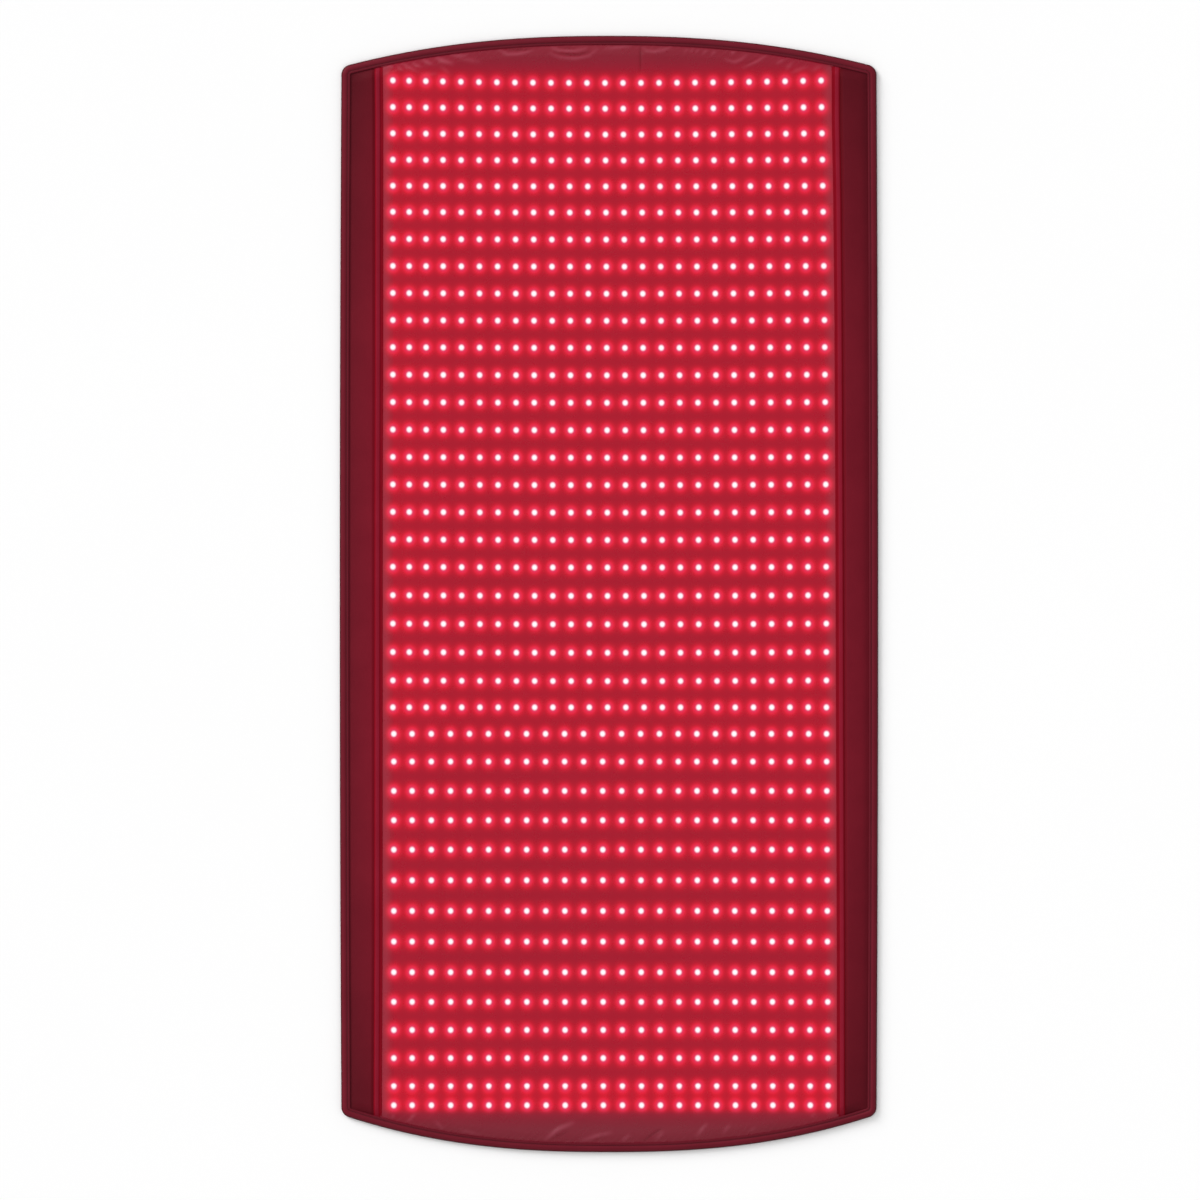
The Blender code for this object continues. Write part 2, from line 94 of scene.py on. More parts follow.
bed_room = 0.0003
pad_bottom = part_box("foot_panel_foam_core")[0][2]
pad_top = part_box("foot_panel_foam_core")[1][2]
bed_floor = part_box("foot_panel_reflector_sheet")[0][2] - bed_room
bed_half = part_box("foot_panel_reflector_sheet")[1][0] + bed_room
bed_end = {
    "head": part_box("head_flap_reflector_sheet")[1][1] + bed_room,
    "foot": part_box("foot_flap_reflector_sheet")[0][1] - bed_room,
}
pad_edge_top = 0.0054
pad_inset = 0.0030
flange_width = 0.015
side_slope = 0.038
end_slope = 0.016
bed_columns = 62
slope_columns = 14


def side_edge(y):
    """Half the mat's width at a place along its length."""
    return half_width - side_bow * (y / half_length) ** 2


def corner_centre(end):
    """The centre of a rounded corner's circle, and how far the end curve leans there."""
    centre_x = side_edge(half_length - end_rise[end]) - corner_radius
    lean = math.atan(end_rise[end] * end_power[end] / centre_x)
    return centre_x, half_length - end_rise[end] - corner_radius * math.cos(lean), lean


def end_edge(end, x, inset=0.0):
    """How far from the middle the head's (1) or the foot's (-1) edge is, moved in by an inset."""
    centre_x, centre_y, lean = corner_centre(end)
    reach = np.abs(x)
    curve_end = centre_x + corner_radius * math.sin(lean)
    fall = end_rise[end] * (reach / curve_end) ** end_power[end]
    slope = end_power[end] * fall / np.maximum(reach, 0.001)
    curve = half_length - fall - inset * np.hypot(1, slope)
    radius = max(corner_radius - inset, 0.0)
    past = np.clip(reach - centre_x, 0.0, radius)
    corner = centre_y + np.sqrt(radius**2 - past**2)
    turned = reach > centre_x + radius * math.sin(lean)
    return np.where(turned & (radius > 0), np.minimum(corner, curve), curve)


def crown(share):
    """How much of its full rise the padding has, at a share of the way up its slope."""
    return 1 - (1 - np.clip(share, 0.0, 1.0)) ** 2


def in_from_edges(x, y):
    """How far a place lies in from the mat's side, and how far from its end."""
    ends = np.where(y > 0, end_edge(1, x), end_edge(-1, x))
    return side_edge(y) - np.abs(x), ends - np.abs(y)


def padding_top(x, y):
    """Height of the foam's upper side, which falls off towards the mat's edges."""
    from_side, from_end = in_from_edges(x, y)
    rise = crown((from_side - flange_width) / side_slope) * crown((from_end - flange_width) / end_slope)
    return pad_edge_top + (pad_top - pad_edge_top) * rise


def length_lines(length, step, end_step, inset):
    """A length's lines of points, from the foot to the head: each one's place along the mat, the
    end that it bends towards (1, -1, or 0) and its share of the way to that end's curve."""
    fold = folds[lengths[length][2]]
    reach = fold_reach[length]
    bend = half_length - max(end_rise.values()) - end_margin
    low = {"head": head_meeting, "middle": foot_meeting, "foot": -bend}[length]
    high = {"head": bend, "middle": head_meeting, "foot": foot_meeting}[length]
    fine = np.linspace(fold - reach, fold + reach, fold_lines)
    before = np.linspace(low, fold - reach, max(2, round((fold - reach - low) / step)) + 1)[:-1]
    after = np.linspace(fold + reach, high, max(2, round((high - fold - reach) / step)) + 1)[1:]
    lines = [(y, 0, 0.0) for y in np.concatenate([before, fine, after])]
    count = max(2, round((half_length - inset - bend) / end_step))
    shares = np.linspace(0, 1, count + 1)[1:]
    if length == "head":
        lines += [(bend, 1, share) for share in shares]
    if length == "foot":
        lines = [(-bend, -1, share) for share in shares[::-1]] + lines
    return lines


def line_place(line, x, inset):
    """Where points of a line lie along the mat."""
    y, end, share = line
    return y + share * (end * end_edge(end, x, inset) - y) if end else np.full_like(x, y)


def read_out(items, name, width=1, kind=float):
    """One property of a mesh's points, corners or faces, as an array."""
    values = np.empty(len(items) * width, kind)
    items.foreach_get(name, values)
    return values.reshape(-1, width) if width > 1 else values


def lay_grid(name, columns, lines, place):
    """A grid primitive whose points are moved to where a function puts each column of a line. Its
    UV map holds where each point lies on the flat cloth, in metres: the function gives that too,
    or else it is the point's place across and along the mat."""
    bpy.ops.object.select_all(action="DESELECT")
    bpy.ops.mesh.primitive_grid_add(x_subdivisions=columns - 1, y_subdivisions=lines - 1, size=2)
    piece = bpy.context.object
    piece.name = piece.data.name = name
    points = read_out(piece.data.vertices, "co", 3)
    column = np.rint((points[:, 0] + 1) / 2 * (columns - 1)).astype(int)
    line = np.rint((points[:, 1] + 1) / 2 * (lines - 1)).astype(int)
    moved = np.zeros_like(points)
    flat = np.zeros((len(points), 2))
    for number in range(lines):
        on_line = line == number
        laid = place(column[on_line], number)
        moved[on_line] = np.stack(laid[:3], axis=1)
        flat[on_line] = np.stack(laid[3:] or laid[:2], axis=1)
    piece.data.vertices.foreach_set("co", moved.ravel())
    corners = read_out(piece.data.loops, "vertex_index", kind=int)
    cloth = piece.data.uv_layers[0]
    cloth.name = "cloth"
    cloth.data.foreach_set("uv", flat[corners].ravel())
    piece.data.update()
    return piece


def set_modifier(piece, kind, **settings):
    """Adds a modifier with its settings to a piece and applies it."""
    bpy.ops.object.select_all(action="DESELECT")
    bpy.context.view_layer.objects.active = piece
    piece.select_set(True)
    modifier = piece.modifiers.new(kind.lower(), kind)
    for setting, value in settings.items():
        setattr(modifier, setting, value)
    bpy.ops.object.modifier_apply(modifier=modifier.name)


def cut_pocket(piece, low, high):
    """Cuts a box with some room round it out of a closed piece."""
    bpy.ops.object.select_all(action="DESELECT")
    bpy.ops.mesh.primitive_cube_add(size=1)
    cutter = bpy.context.object
    cutter.location = [(a + b) / 2 for a, b in zip(low, high)]
    cutter.scale = [b - a + 2 * bed_room for a, b in zip(low, high)]
    set_modifier(piece, "BOOLEAN", operation="DIFFERENCE", solver="EXACT", object=cutter)
    bpy.data.objects.remove(cutter)


def bend_with(piece):
    """Bakes a piece's placement into its mesh."""
    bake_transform(piece)


def section_nodes(length, kind):
    """The nodes of one kind that a length stands for."""
    return [f"{section}_{kind}" for section in length_sections[length]]


def fasten(piece, nodes):
    """Bakes a finished piece's placement and hides the nodes that it stands for."""
    bend_with(piece)
    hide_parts(*nodes)


def face_out():
    """Turns all faces of the piece in hand outwards."""
    bpy.ops.object.mode_set(mode="EDIT")
    bpy.ops.mesh.select_all(action="SELECT")
    bpy.ops.mesh.normals_make_consistent(inside=False)
    bpy.ops.object.mode_set(mode="OBJECT")


def wire(value, socket):
    """Links a socket to another one, or sets it to a number or a colour."""
    if isinstance(value, bpy.types.NodeSocket):
        socket.id_data.links.new(value, socket)
    elif socket.type == "RGBA":
        socket.default_value = (*value, 1.0)
    else:
        socket.default_value = value


def add_node(tree, kind, inputs=None, **settings):
    """A node with its settings and its inputs, which are sockets, numbers or colours."""
    node = tree.nodes.new(f"ShaderNode{kind}")
    for setting, value in settings.items():
        setattr(node, setting, value)
    for name, value in (inputs or {}).items():
        wire(value, node.inputs[name])
    return node


def math_node(operation, *values):
    """A Math node on a socket and further sockets or numbers. Gives its output."""
    return add_node(values[0].id_data, "Math", dict(enumerate(values)), operation=operation).outputs[0]


def mix_colours(share, first, second):
    """A mix of two colours. Gives its output."""
    inputs = {0: share, 6: first, 7: second}
    return add_node(share.id_data, "Mix", inputs, data_type="RGBA").outputs[2]


def noise_node(vector, scale, detail=2.0, roughness=0.5):
    """A Noise Texture on a vector. Gives its value."""
    inputs = {"Vector": vector, "Scale": scale, "Detail": detail, "Roughness": roughness}
    return add_node(vector.id_data, "TexNoise", inputs).outputs["Fac"]


def object_place(tree):
    """The Object coordinates of a material's piece."""
    return add_node(tree, "TexCoord").outputs["Object"]


def set_bump(shader, height, strength, distance):
    """Feeds a height through a Bump node to a shader's normal."""
    inputs = {"Height": height, "Strength": strength, "Distance": distance}
    wire(add_node(height.id_data, "Bump", inputs).outputs["Normal"], shader.inputs["Normal"])


def spread(value, low, high, to_low=0.0, to_high=1.0, smooth=False):
    """A Map Range of a value, clamped. Gives its result."""
    inputs = dict(enumerate((value, low, high, to_low, to_high)))
    way = "SMOOTHSTEP" if smooth else "LINEAR"
    return add_node(value.id_data, "MapRange", inputs, interpolation_type=way).outputs["Result"]


def new_material(name, roughness, specular):
    """A material and its Principled shader."""
    material = bpy.data.materials.new(name)
    material.use_nodes = True
    shader = material.node_tree.nodes["Principled BSDF"]
    shader.inputs["Roughness"].default_value = roughness
    shader.inputs["Specular IOR Level"].default_value = specular
    return material, shader


def mottled_finish(
    name, tones, scale, detail, roughness, specular, texture=None, glow=None, strength=1.0, metallic=None
):
    """A finish of two close tones in fine mottling, which can have a texture (its strength and
    depth), its own light (two tones and a strength), and a share of metal with worn spots."""
    material, shader = new_material(name, roughness, specular)
    mottle = noise_node(object_place(material.node_tree), scale, detail)
    wire(mix_colours(mottle, *tones), shader.inputs["Base Color"])
    if texture:
        set_bump(shader, mottle, *texture)
    if glow:
        wire(mix_colours(mottle, *glow), shader.inputs["Emission Color"])
        shader.inputs["Emission Strength"].default_value = strength
    if metallic is not None:
        shader.inputs["Metallic"].default_value = metallic
        wire(spread(mottle, 0.3, 0.7, roughness - 0.08, roughness + 0.1), shader.inputs["Roughness"])
    return material


# Closed-cell foam: a dull dark red with fine cells.
tones = ((0.20, 0.018, 0.030), (0.26, 0.026, 0.042))
foam = mottled_finish("foam", tones, scale=40, detail=3, roughness=0.9, specular=0.1)
tree = foam.node_tree
cells = add_node(tree, "TexVoronoi", {"Vector": object_place(tree), "Scale": 900})
set_bump(tree.nodes["Principled BSDF"], cells.outputs["Distance"], strength=0.5, distance=0.0003)


def lay_pad(length):
    """One length of the pad: its upper side with the bed sunk into it, then its thickness below."""
    lines = length_lines(length, step=0.012, end_step=0.006, inset=pad_inset)
    across = np.linspace(-bed_half, bed_half, bed_columns)
    down_slope = np.linspace(0.06, 1.0, slope_columns)
    count = bed_columns + 2 * slope_columns + 2

    def place(column, number):
        line = lines[number]
        edge = side_edge(line[0]) - pad_inset
        outer = bed_half + (edge - bed_half) * down_slope
        columns = np.concatenate([-outer[::-1], [-bed_half], across, [bed_half], outer])
        x = columns[column]
        y = line_place(line, x, pad_inset)
        z = padding_top(x, y)
        sunk = (column > slope_columns) & (column < count - slope_columns - 1)
        in_bed = sunk & (y < bed_end["head"]) & (y > bed_end["foot"])
        return x, y, np.where(in_bed, bed_floor, z)

    pad = lay_grid(f"{length}_foam_pad", count, len(lines), place)
    bpy.ops.object.mode_set(mode="EDIT")
    bpy.ops.mesh.select_all(action="SELECT")
    bpy.ops.mesh.extrude_region_move(TRANSFORM_OT_translate={"value": (0, 0, -pad_top)})
    bpy.ops.object.mode_set(mode="OBJECT")
    for vertex in pad.data.vertices:
        if vertex.select:
            vertex.co.z = pad_bottom
    face_out()
    if length == "foot":
        for node in ("terminal_box", "inner_lead", "inlet_socket"):
            cut_pocket(pad, *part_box(node))
    bpy.ops.object.shade_smooth_by_angle(angle=math.radians(35))
    pad.data.materials.append(foam)
    fasten(pad, section_nodes(length, "foam_core"))


for length in lengths:
    lay_pad(length)


# The reflector sheets. A pale film under the lamp strips throws their light back up: its red tone
# and the red glow between the strips are painted light, given to the sheet as its own colour and light.
# One sheet lies in each section's part of the bed, stuck to the foam.
sections = ("head_flap", "head_panel", "foot_panel", "foot_flap")

reflector = mottled_finish(
    "reflector_sheet",
    tones=((0.24, 0.010, 0.022), (0.30, 0.014, 0.03)),
    glow=((0.17, 0.003, 0.010), (0.24, 0.005, 0.014)),
    scale=60,
    detail=3,
    roughness=0.6,
    specular=0.1,
    texture=(0.2, 0.0004),
)


def refinish(node, material):
    """Puts a material on a node that the scene carries over."""
    node.data.materials.clear()
    node.data.materials.append(material)


for section in sections:
    refinish(frame["nodes"][f"{section}_reflector_sheet"], reflector)


# The circuit strips. Each row of lamps is soldered to a flexible strip, and the strips of a
# section run between two flat rails that feed them. They are white-coated copper on plastic film.
row_gap_shares = (
    (5, 0.949), (5, 0.986), (8, 1.0), (4, 1.035), (2, 0.964), (1, 1.01),
    (3, 1.07), (4, 1.116), (1, 1.08), (3, 1.024), (1, 0.694),
)
first_row = 0.8263
last_row = -0.8252
bow_rows = (0, 1, 2, 3, 22, 23)
bow_sizes = (0.0046, 0.0028, 0.0022, 0.0013, 0.0013, 0.0)
bow_middle_share = 0.36
section_rows = {
    "head_flap": range(0, 9),
    "head_panel": range(9, 20),
    "foot_panel": range(20, 30),
    "foot_flap": range(30, 38),
}
strip_width = 0.0080
strip_columns = 15
strip_bevel = 0.0001
rail_width = 0.0055
rail_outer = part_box("foot_panel_lamp_ladder")[1][0]
strip_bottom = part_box("foot_panel_lamp_ladder")[0][2]
strip_top = strip_bottom + 0.0006


def add_up(steps):
    """The running total of steps, from nothing."""
    return np.concatenate([[0], np.cumsum(steps)])


gaps = np.array([share for count, share in row_gap_shares for _ in range(count)])
row_places = first_row - add_up(gaps) * (first_row - last_row) / gaps.sum()


def row_bow(row, x):
    """The rows of the head block bend towards the head at their two ends, the first one most."""
    return np.interp(row, bow_rows, bow_sizes) * ((x / bed_half) ** 2 - bow_middle_share)


# The strips' red tone and glow are painted light: the lamps' red light on their white coating, given as
# their own colour and light.
circuit = mottled_finish(
    "circuit_strip",
    tones=((0.40, 0.020, 0.040), (0.50, 0.032, 0.055)),
    glow=((0.30, 0.006, 0.018), (0.36, 0.008, 0.024)),
    scale=500,
    detail=2,
    roughness=0.45,
    specular=0.2,
    texture=(0.15, 0.0002),
)


def edit_faces(piece, chosen):
    """Goes into edit mode with a piece's chosen faces selected."""
    bpy.ops.object.mode_set(mode="EDIT")
    bpy.ops.mesh.select_mode(type="FACE")
    bpy.ops.mesh.select_all(action="DESELECT")
    bpy.ops.object.mode_set(mode="OBJECT")
    for face in piece.data.polygons:
        face.select = bool(chosen(face))
    bpy.ops.object.mode_set(mode="EDIT")


def lay_strips(section):
    """A section's strips between its two rails, cut from one sheet and given its thickness."""
    low, high = (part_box(f"{section}_lamp_ladder")[side][1] for side in (0, 1))
    edges = [(low, None)]
    for row in reversed(section_rows[section]):
        edges += [(row_places[row] - strip_width / 2, row), (row_places[row] + strip_width / 2, row)]
    edges.append((high, None))
    inner = rail_outer - rail_width
    across = np.concatenate([[-rail_outer], np.linspace(-inner, inner, strip_columns), [rail_outer]])

    def place(column, number):
        x = across[column]
        y, row = edges[number]
        bow = 0 * x if row is None else row_bow(row, x)
        return x, y + bow, np.full_like(x, strip_bottom)

    def is_gap(face):
        return abs(face.center.x) < inner and min(abs(face.center.y - row_places)) > strip_width / 2

    strips = lay_grid(f"{section}_circuit_strips", len(across), len(edges), place)
    edit_faces(strips, is_gap)
    bpy.ops.mesh.delete(type="FACE")
    bpy.ops.object.mode_set(mode="OBJECT")
    set_modifier(strips, "SOLIDIFY", thickness=strip_top - strip_bottom, offset=1.0)
    set_modifier(strips, "BEVEL", width=strip_bevel, segments=1, limit_method="ANGLE")
    strips.data.materials.append(circuit)
    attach(strips, section)
    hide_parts(f"{section}_lamp_ladder")


for section in sections:
    lay_strips(section)


# The lamps. Each is a small square surface-mount package: a white plastic cup with a clear domed
# window over its chips. They sit 25 to a row in the head block and 24 to a row in the foot block.
lamp_side = 0.0050
cup_wall = 0.0005
cup_depth = 0.0004
window_gap = 0.0004
window_rise = 0.0003
window_taper = 0.7
lamp_top = pad_top
head_gap_shares = (0.90, 0.93, 0.945, *[1.0] * 21)
foot_gap_shares = (0.97, 1.02, 1.02, *[1.01] * 10, 1.0, 1.0, *[0.99] * 7, 0.95)
block_break = 24
head_block_left = -0.3487
head_block_right = (0.3424, 0.3510)
foot_block_left = -0.3472
foot_block_right = (0.3512, 0.3540)


def block_ends(row, in_head_block):
    """Where a row starts on the left and stops on the right."""
    down_head = np.clip(row / (block_break - 1), 0, 1)
    down_foot = np.clip((row - block_break) / (len(row_places) - 1 - block_break), 0, 1)
    head_right = np.interp(1 - (1 - down_head) ** 2, (0, 1), head_block_right)
    foot_right = np.interp(down_foot, (0, 1), foot_block_right)
    left = np.where(in_head_block, head_block_left, foot_block_left)
    return left, np.where(in_head_block, head_right, foot_right)


def gap_marks(in_head_block):
    """The share of the way across a row at which each of its lamps sits."""
    shares = head_gap_shares if in_head_block else foot_gap_shares
    return add_up(shares) / sum(shares)


def lamp_columns(row):
    """Lamp centres across one row."""
    left, right = block_ends(row, row < block_break)
    return left + gap_marks(row < block_break) * (right - left)


def finish_lamp(name, colour, strength, roughness):
    """A lit lamp part: its own light, over plastic with faint mottling."""
    tones = (tuple(0.92 * part for part in colour), colour)
    return mottled_finish(name, tones, 1200, 2, roughness, specular=0.3, glow=tones, strength=strength)


cup = finish_lamp("lamp_cup", (1.0, 0.25, 0.34), 0.50, 0.5)
window = finish_lamp("lamp_window", (1.0, 0.90, 0.88), 0.90, 0.15)


# One lamp at the origin, from a cube whose top is inset into a cup with a domed window.
bpy.ops.object.select_all(action="DESELECT")
bpy.ops.mesh.primitive_cube_add(size=1)
one_lamp = bpy.context.object
height = lamp_top - strip_top
one_lamp.scale = (lamp_side, lamp_side, height)
one_lamp.location = (0, 0, strip_top + height / 2)
bpy.ops.object.transform_apply(location=True, scale=True)
edit_faces(one_lamp, lambda face: face.normal.z > 0.9)
for border, move in ((cup_wall, -cup_depth), (window_gap, window_rise)):
    bpy.ops.mesh.inset(thickness=border)
    bpy.ops.mesh.extrude_region_move(TRANSFORM_OT_translate={"value": (0, 0, move)})
bpy.ops.transform.resize(value=(window_taper, window_taper, 1))
bpy.ops.object.mode_set(mode="OBJECT")
one_lamp.data.materials.append(cup)
one_lamp.data.materials.append(window)
for face in one_lamp.data.polygons:
    inside = max(abs(face.center.x), abs(face.center.y)) < lamp_side / 2 - cup_wall - window_gap
    face.material_index = int(inside and face.normal.z > 0.1)


def copy_to(name, model, places):
    """Copies of a small modelled piece at many places, as one new piece."""
    mesh = bmesh.new()
    for place in places:
        corners = [mesh.verts.new(place @ vertex.co) for vertex in model.data.vertices]
        for face in model.data.polygons:
            copied = mesh.faces.new([corners[corner] for corner in face.vertices])
            copied.material_index = face.material_index
    data = bpy.data.meshes.new(name)
    mesh.to_mesh(data)
    mesh.free()
    copies = bpy.data.objects.new(name, data)
    bpy.context.scene.collection.objects.link(copies)
    return copies


def set_lamps(section):
    """A section's lamps, copied from one."""
    places = []
    for row in section_rows[section]:
        x = lamp_columns(row)
        y = row_places[row] + row_bow(row, x)
        places += [Matrix.Translation((a, b, 0)) for a, b in zip(x, y)]
    lamps = copy_to(f"{section}_lamps", one_lamp, places)
    lamps.data.materials.append(cup)
    lamps.data.materials.append(window)
    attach(lamps, section)


for section in sections:
    set_lamps(section)
bpy.data.objects.remove(one_lamp)


# The window film. A soft, faintly milky clear film is sewn in under the binding at the head and
# the foot and under the welts at the sides. The red glow round each lamp, where it scatters the
# lamps' light, is painted in as the film's own light, and the film puckers along its seams.
film_half = bed_half + 0.0050
film_thickness = 0.0004
film_seat = 0.0003
film_inset = 0.006
binding_lip = 0.0134
film_columns = 330
margin_start = 0.834
margin_loft = 0.0008
left_seam_stops = (-0.80, -0.58, 0.15, 0.37, 0.77, 0.85)
left_seam_shifts = (0.0, 0.0010, 0.0013, 0.0020, 0.0022, 0.0014)
right_seam_stops = (-0.58, -0.20, 0.15, 0.46, 0.64, 0.77)
right_seam_shifts = (0.0013, 0.0, -0.0011, -0.0027, -0.0045, -0.0069)
seam_pull = (0.290, 0.362)


def seam_shift(x, y):
    """How far the film's side seams lean: they close in towards the head."""
    left = np.interp(y, left_seam_stops, left_seam_shifts)
    right = np.interp(y, right_seam_stops, right_seam_shifts)
    return np.where(x < 0, left, right) * np.interp(np.abs(x), seam_pull, (0, 1))


def count_along(place, marks):
    """How many steps between rising marks a place has passed, also before the first and past the
    last, and which step it is in."""
    steps = np.diff(marks)
    last = len(steps)
    counted = np.interp(place, marks, np.arange(last + 1))
    counted = np.where(place < marks[0], (place - marks[0]) / steps[0], counted)
    counted = np.where(place > marks[-1], last + (place - marks[-1]) / steps[-1], counted)
    return counted, steps[np.clip(np.floor(counted), 0, last - 1).astype(int)]


def lamp_cells(x, y, in_head_block):
    """Where points lie among the lamps, counted in columns and rows, and the steps there."""
    bow = row_bow(np.interp(-y, -row_places, np.arange(len(row_places))), x)
    row, gap = count_along(bow - y, -row_places)
    left, right = block_ends(row, in_head_block)
    along = (x - left) / (right - left)
    in_head, in_foot = (count_along(along, gap_marks(block)) for block in (True, False))
    column, step = (np.where(in_head_block, *pair) for pair in zip(in_head, in_foot))
    last_column = np.where(in_head_block, len(head_gap_shares), len(foot_gap_shares))
    places = np.stack([column, row, last_column], axis=1)
    return places, np.stack([step * (right - left), gap, 0 * gap], axis=1)


block_line = (row_places[block_break - 1] + row_places[block_break]) / 2


def mark_lamp_cells(piece):
    """Stores on each face corner where it lies among the lamps."""
    data = piece.data
    corner_points = read_out(data.loops, "vertex_index", kind=int)
    x, y, _ = read_out(data.vertices, "co", 3)[corner_points].T
    sizes = read_out(data.polygons, "loop_total", kind=int)
    in_head_block = np.repeat(read_out(data.polygons, "center", 3)[:, 1] > block_line, sizes)
    for name, values in zip(("lamp_place", "lamp_step"), lamp_cells(x, y, in_head_block)):
        stored = data.attributes.new(name, "FLOAT_VECTOR", "CORNER")
        stored.data.foreach_set("vector", values.astype(np.float32).ravel())


near_spread_across = 0.0093
near_spread_along = 0.0103
wide_spread = 0.0245
pink_spread = 0.0068
near_strength = 1.007
wide_strength = 0.1235
brightest_glow = 0.54
core_inner = 0.0018
core_outer = 0.0060
lamp_squeeze = 0.93
glow_end = (0.005, 0.017)


def product(first, *others):
    """Sockets and numbers multiplied together."""
    for other in others:
        first = math_node("MULTIPLY", first, other)
    return first


def split(vector):
    """The three parts of a vector."""
    return add_node(vector.id_data, "SeparateXYZ", {0: vector}).outputs


def fall_off(distance, reach):
    """A bell curve of a distance."""
    ratio = math_node("DIVIDE", distance, reach)
    return math_node("EXPONENT", product(ratio, ratio, -1.0))


def new_group(name, inputs, outputs):
    """A node group with its sockets. Gives the group, what it is given and what it puts out."""
    tree = bpy.data.node_groups.new(name, "ShaderNodeTree")
    for way, sockets in (("INPUT", inputs), ("OUTPUT", outputs)):
        for socket, kind in sockets.items():
            tree.interface.new_socket(socket, in_out=way, socket_type=f"NodeSocket{kind}")
    given = tree.nodes.new("NodeGroupInput").outputs
    return tree, given, tree.nodes.new("NodeGroupOutput").inputs


def sum_along(count, last, pitch, near_spread):
    """Along one way: both spreads over the two nearest lamps, and the nearer's distance."""
    floor = math_node("FLOOR", count)
    lower = math_node("MINIMUM", math_node("MAXIMUM", floor, 0.0), last)
    next_one = math_node("ADD", floor, 1.0)
    upper = math_node("MINIMUM", math_node("MAXIMUM", next_one, 0.0), last)
    both = math_node("SUBTRACT", upper, lower)
    away = []
    for number in (lower, upper):
        off = product(math_node("SUBTRACT", count, number), pitch)
        away.append(math_node("ABSOLUTE", off))
    sums = []
    for reach in (near_spread, wide_spread):
        first, second = (fall_off(distance, reach) for distance in away)
        sums.append(math_node("MULTIPLY_ADD", second, both, first))
    return *sums, math_node("MINIMUM", *away)


# A node group for the glow painted into the film as its own light: from a place among the lamps to
# their spread glow, the painted pink round each lamp and its painted white core. The glow ends
# sooner past the last row, where the reflector sheet ends.
inputs = {"Place": "Vector", "Step": "Vector"}
outputs = {"Glow": "Float", "Pink": "Float", "Core": "Float"}
painted_lamp_glow, given, out = new_group("painted_lamp_glow", inputs, outputs)
column, row, last_column = split(given["Place"])
column_step, row_step, _ = split(given["Step"])

last_row_number = float(len(row_places) - 1)
near_across, wide_across, off_across = sum_along(column, last_column, column_step, near_spread_across)
near_along, wide_along, off_along = sum_along(row, last_row_number, row_step, near_spread_along)
wide = product(wide_across, wide_along, wide_strength)
glow = math_node("MULTIPLY_ADD", product(near_across, near_along), near_strength, wide)
glow = math_node("MINIMUM", glow, brightest_glow)
past_last = product(math_node("SUBTRACT", row, last_row_number), row_step)
fading = spread(past_last, *glow_end, 1.0, 0.30, smooth=True)
squeezed = product(off_along, lamp_squeeze)
across_square = product(off_across, off_across)
radius = math_node("SQRT", math_node("MULTIPLY_ADD", squeezed, squeezed, across_square))
wire(product(glow, fading), out["Glow"])
wire(fall_off(radius, pink_spread), out["Pink"])
wire(spread(radius, core_inner, core_outer, 1.0, 0.0, smooth=True), out["Core"])


def stored_value(tree, name):
    """A value that is stored on a piece."""
    return add_node(tree, "Attribute", attribute_name=name).outputs


def cloth_place(tree):
    """Where a point lies on the flat cloth of a material's piece."""
    return add_node(tree, "UVMap", uv_map="cloth").outputs["UV"]


def scaled_colour(share, colour):
    """A colour times a varying share."""
    inputs = {0: colour, "Scale": share}
    return add_node(share.id_data, "VectorMath", inputs, operation="SCALE").outputs["Vector"]


def add_colours(first, second):
    """The sum of two colours."""
    inputs = {0: first, 1: second}
    return add_node(first.id_data, "VectorMath", inputs, operation="ADD").outputs["Vector"]


# Milky film with the lamps' glow painted in as its own light, glossy over fine wrinkles, with painted
# highlights on its crests and painted shade in its hollows.
side_margin = (0.348, 0.360)
head_margin = (0.846, 0.888)
foot_margin = (-0.862, -0.832)

film_finish, shader = new_material("window_film", roughness=0.30, specular=0.17)
tree = film_finish.node_tree
place = cloth_place(tree)
cell = {name: stored_value(tree, f"lamp_{name.lower()}")["Vector"] for name in ("Place", "Step")}
glow = add_node(tree, "Group", cell, node_tree=painted_lamp_glow).outputs
clouds = noise_node(place, 18, 3)
across, along, _ = split(place)
past_sides = spread(math_node("ABSOLUTE", across), *side_margin)
past_head = spread(along, *head_margin)
past_foot = spread(along, *foot_margin, 1.0, 0.0)
# Past the lamps, at the sides and the ends, the film's tones turn paler and, at the ends, less red: painted
# sheen, and painted falling-off of the lamps' light.
milk_and_painted_light = mix_colours(clouds, (0.145, 0.003, 0.015), (0.175, 0.005, 0.020))
for past, deep, pale in (
    (past_sides, (0.150, 0.019, 0.033), (0.174, 0.023, 0.040)),
    (past_head, (0.128, 0.013, 0.022), (0.150, 0.017, 0.028)),
    (past_foot, (0.108, 0.015, 0.025), (0.128, 0.019, 0.030)),
):
    milk_and_painted_light = mix_colours(past, milk_and_painted_light, mix_colours(clouds, deep, pale))
# Painted light on the creases: the crests are paler, as painted highlights, and the hollows darker, as
# painted shade.
crease = stored_value(tree, "crease")["Fac"]
hollow = spread(crease, -1.0, 0.0, 0.45, 1.0)
crest = spread(crease, 0.0, 1.0)
milk_and_painted_light = add_colours(scaled_colour(hollow, milk_and_painted_light), scaled_colour(crest, (0.085, 0.029, 0.040)))
wire(milk_and_painted_light, shader.inputs["Base Color"])
wire(spread(noise_node(place, 55, 3), 0.3, 0.7, 0.24, 0.36), shader.inputs["Roughness"])
# The film's own light is painted glow: a low red all over, the lamps' spread glow, a pink round each lamp
# and a white core.
light = add_colours(scaled_colour(glow["Glow"], (1.0, 0.0, 0.0)), (0.095, 0.001, 0.006))
for part, colour in (("Pink", (0.0, 0.059, 0.176)), ("Core", (0.28, 0.95, 0.90))):
    light = add_colours(light, scaled_colour(glow[part], colour))
wire(light, shader.inputs["Emission Color"])
shader.inputs["Emission Strength"].default_value = 1.0
shader.inputs["Alpha"].default_value = 0.85
set_bump(shader, noise_node(place, 90, 2), strength=0.12, distance=0.0006)
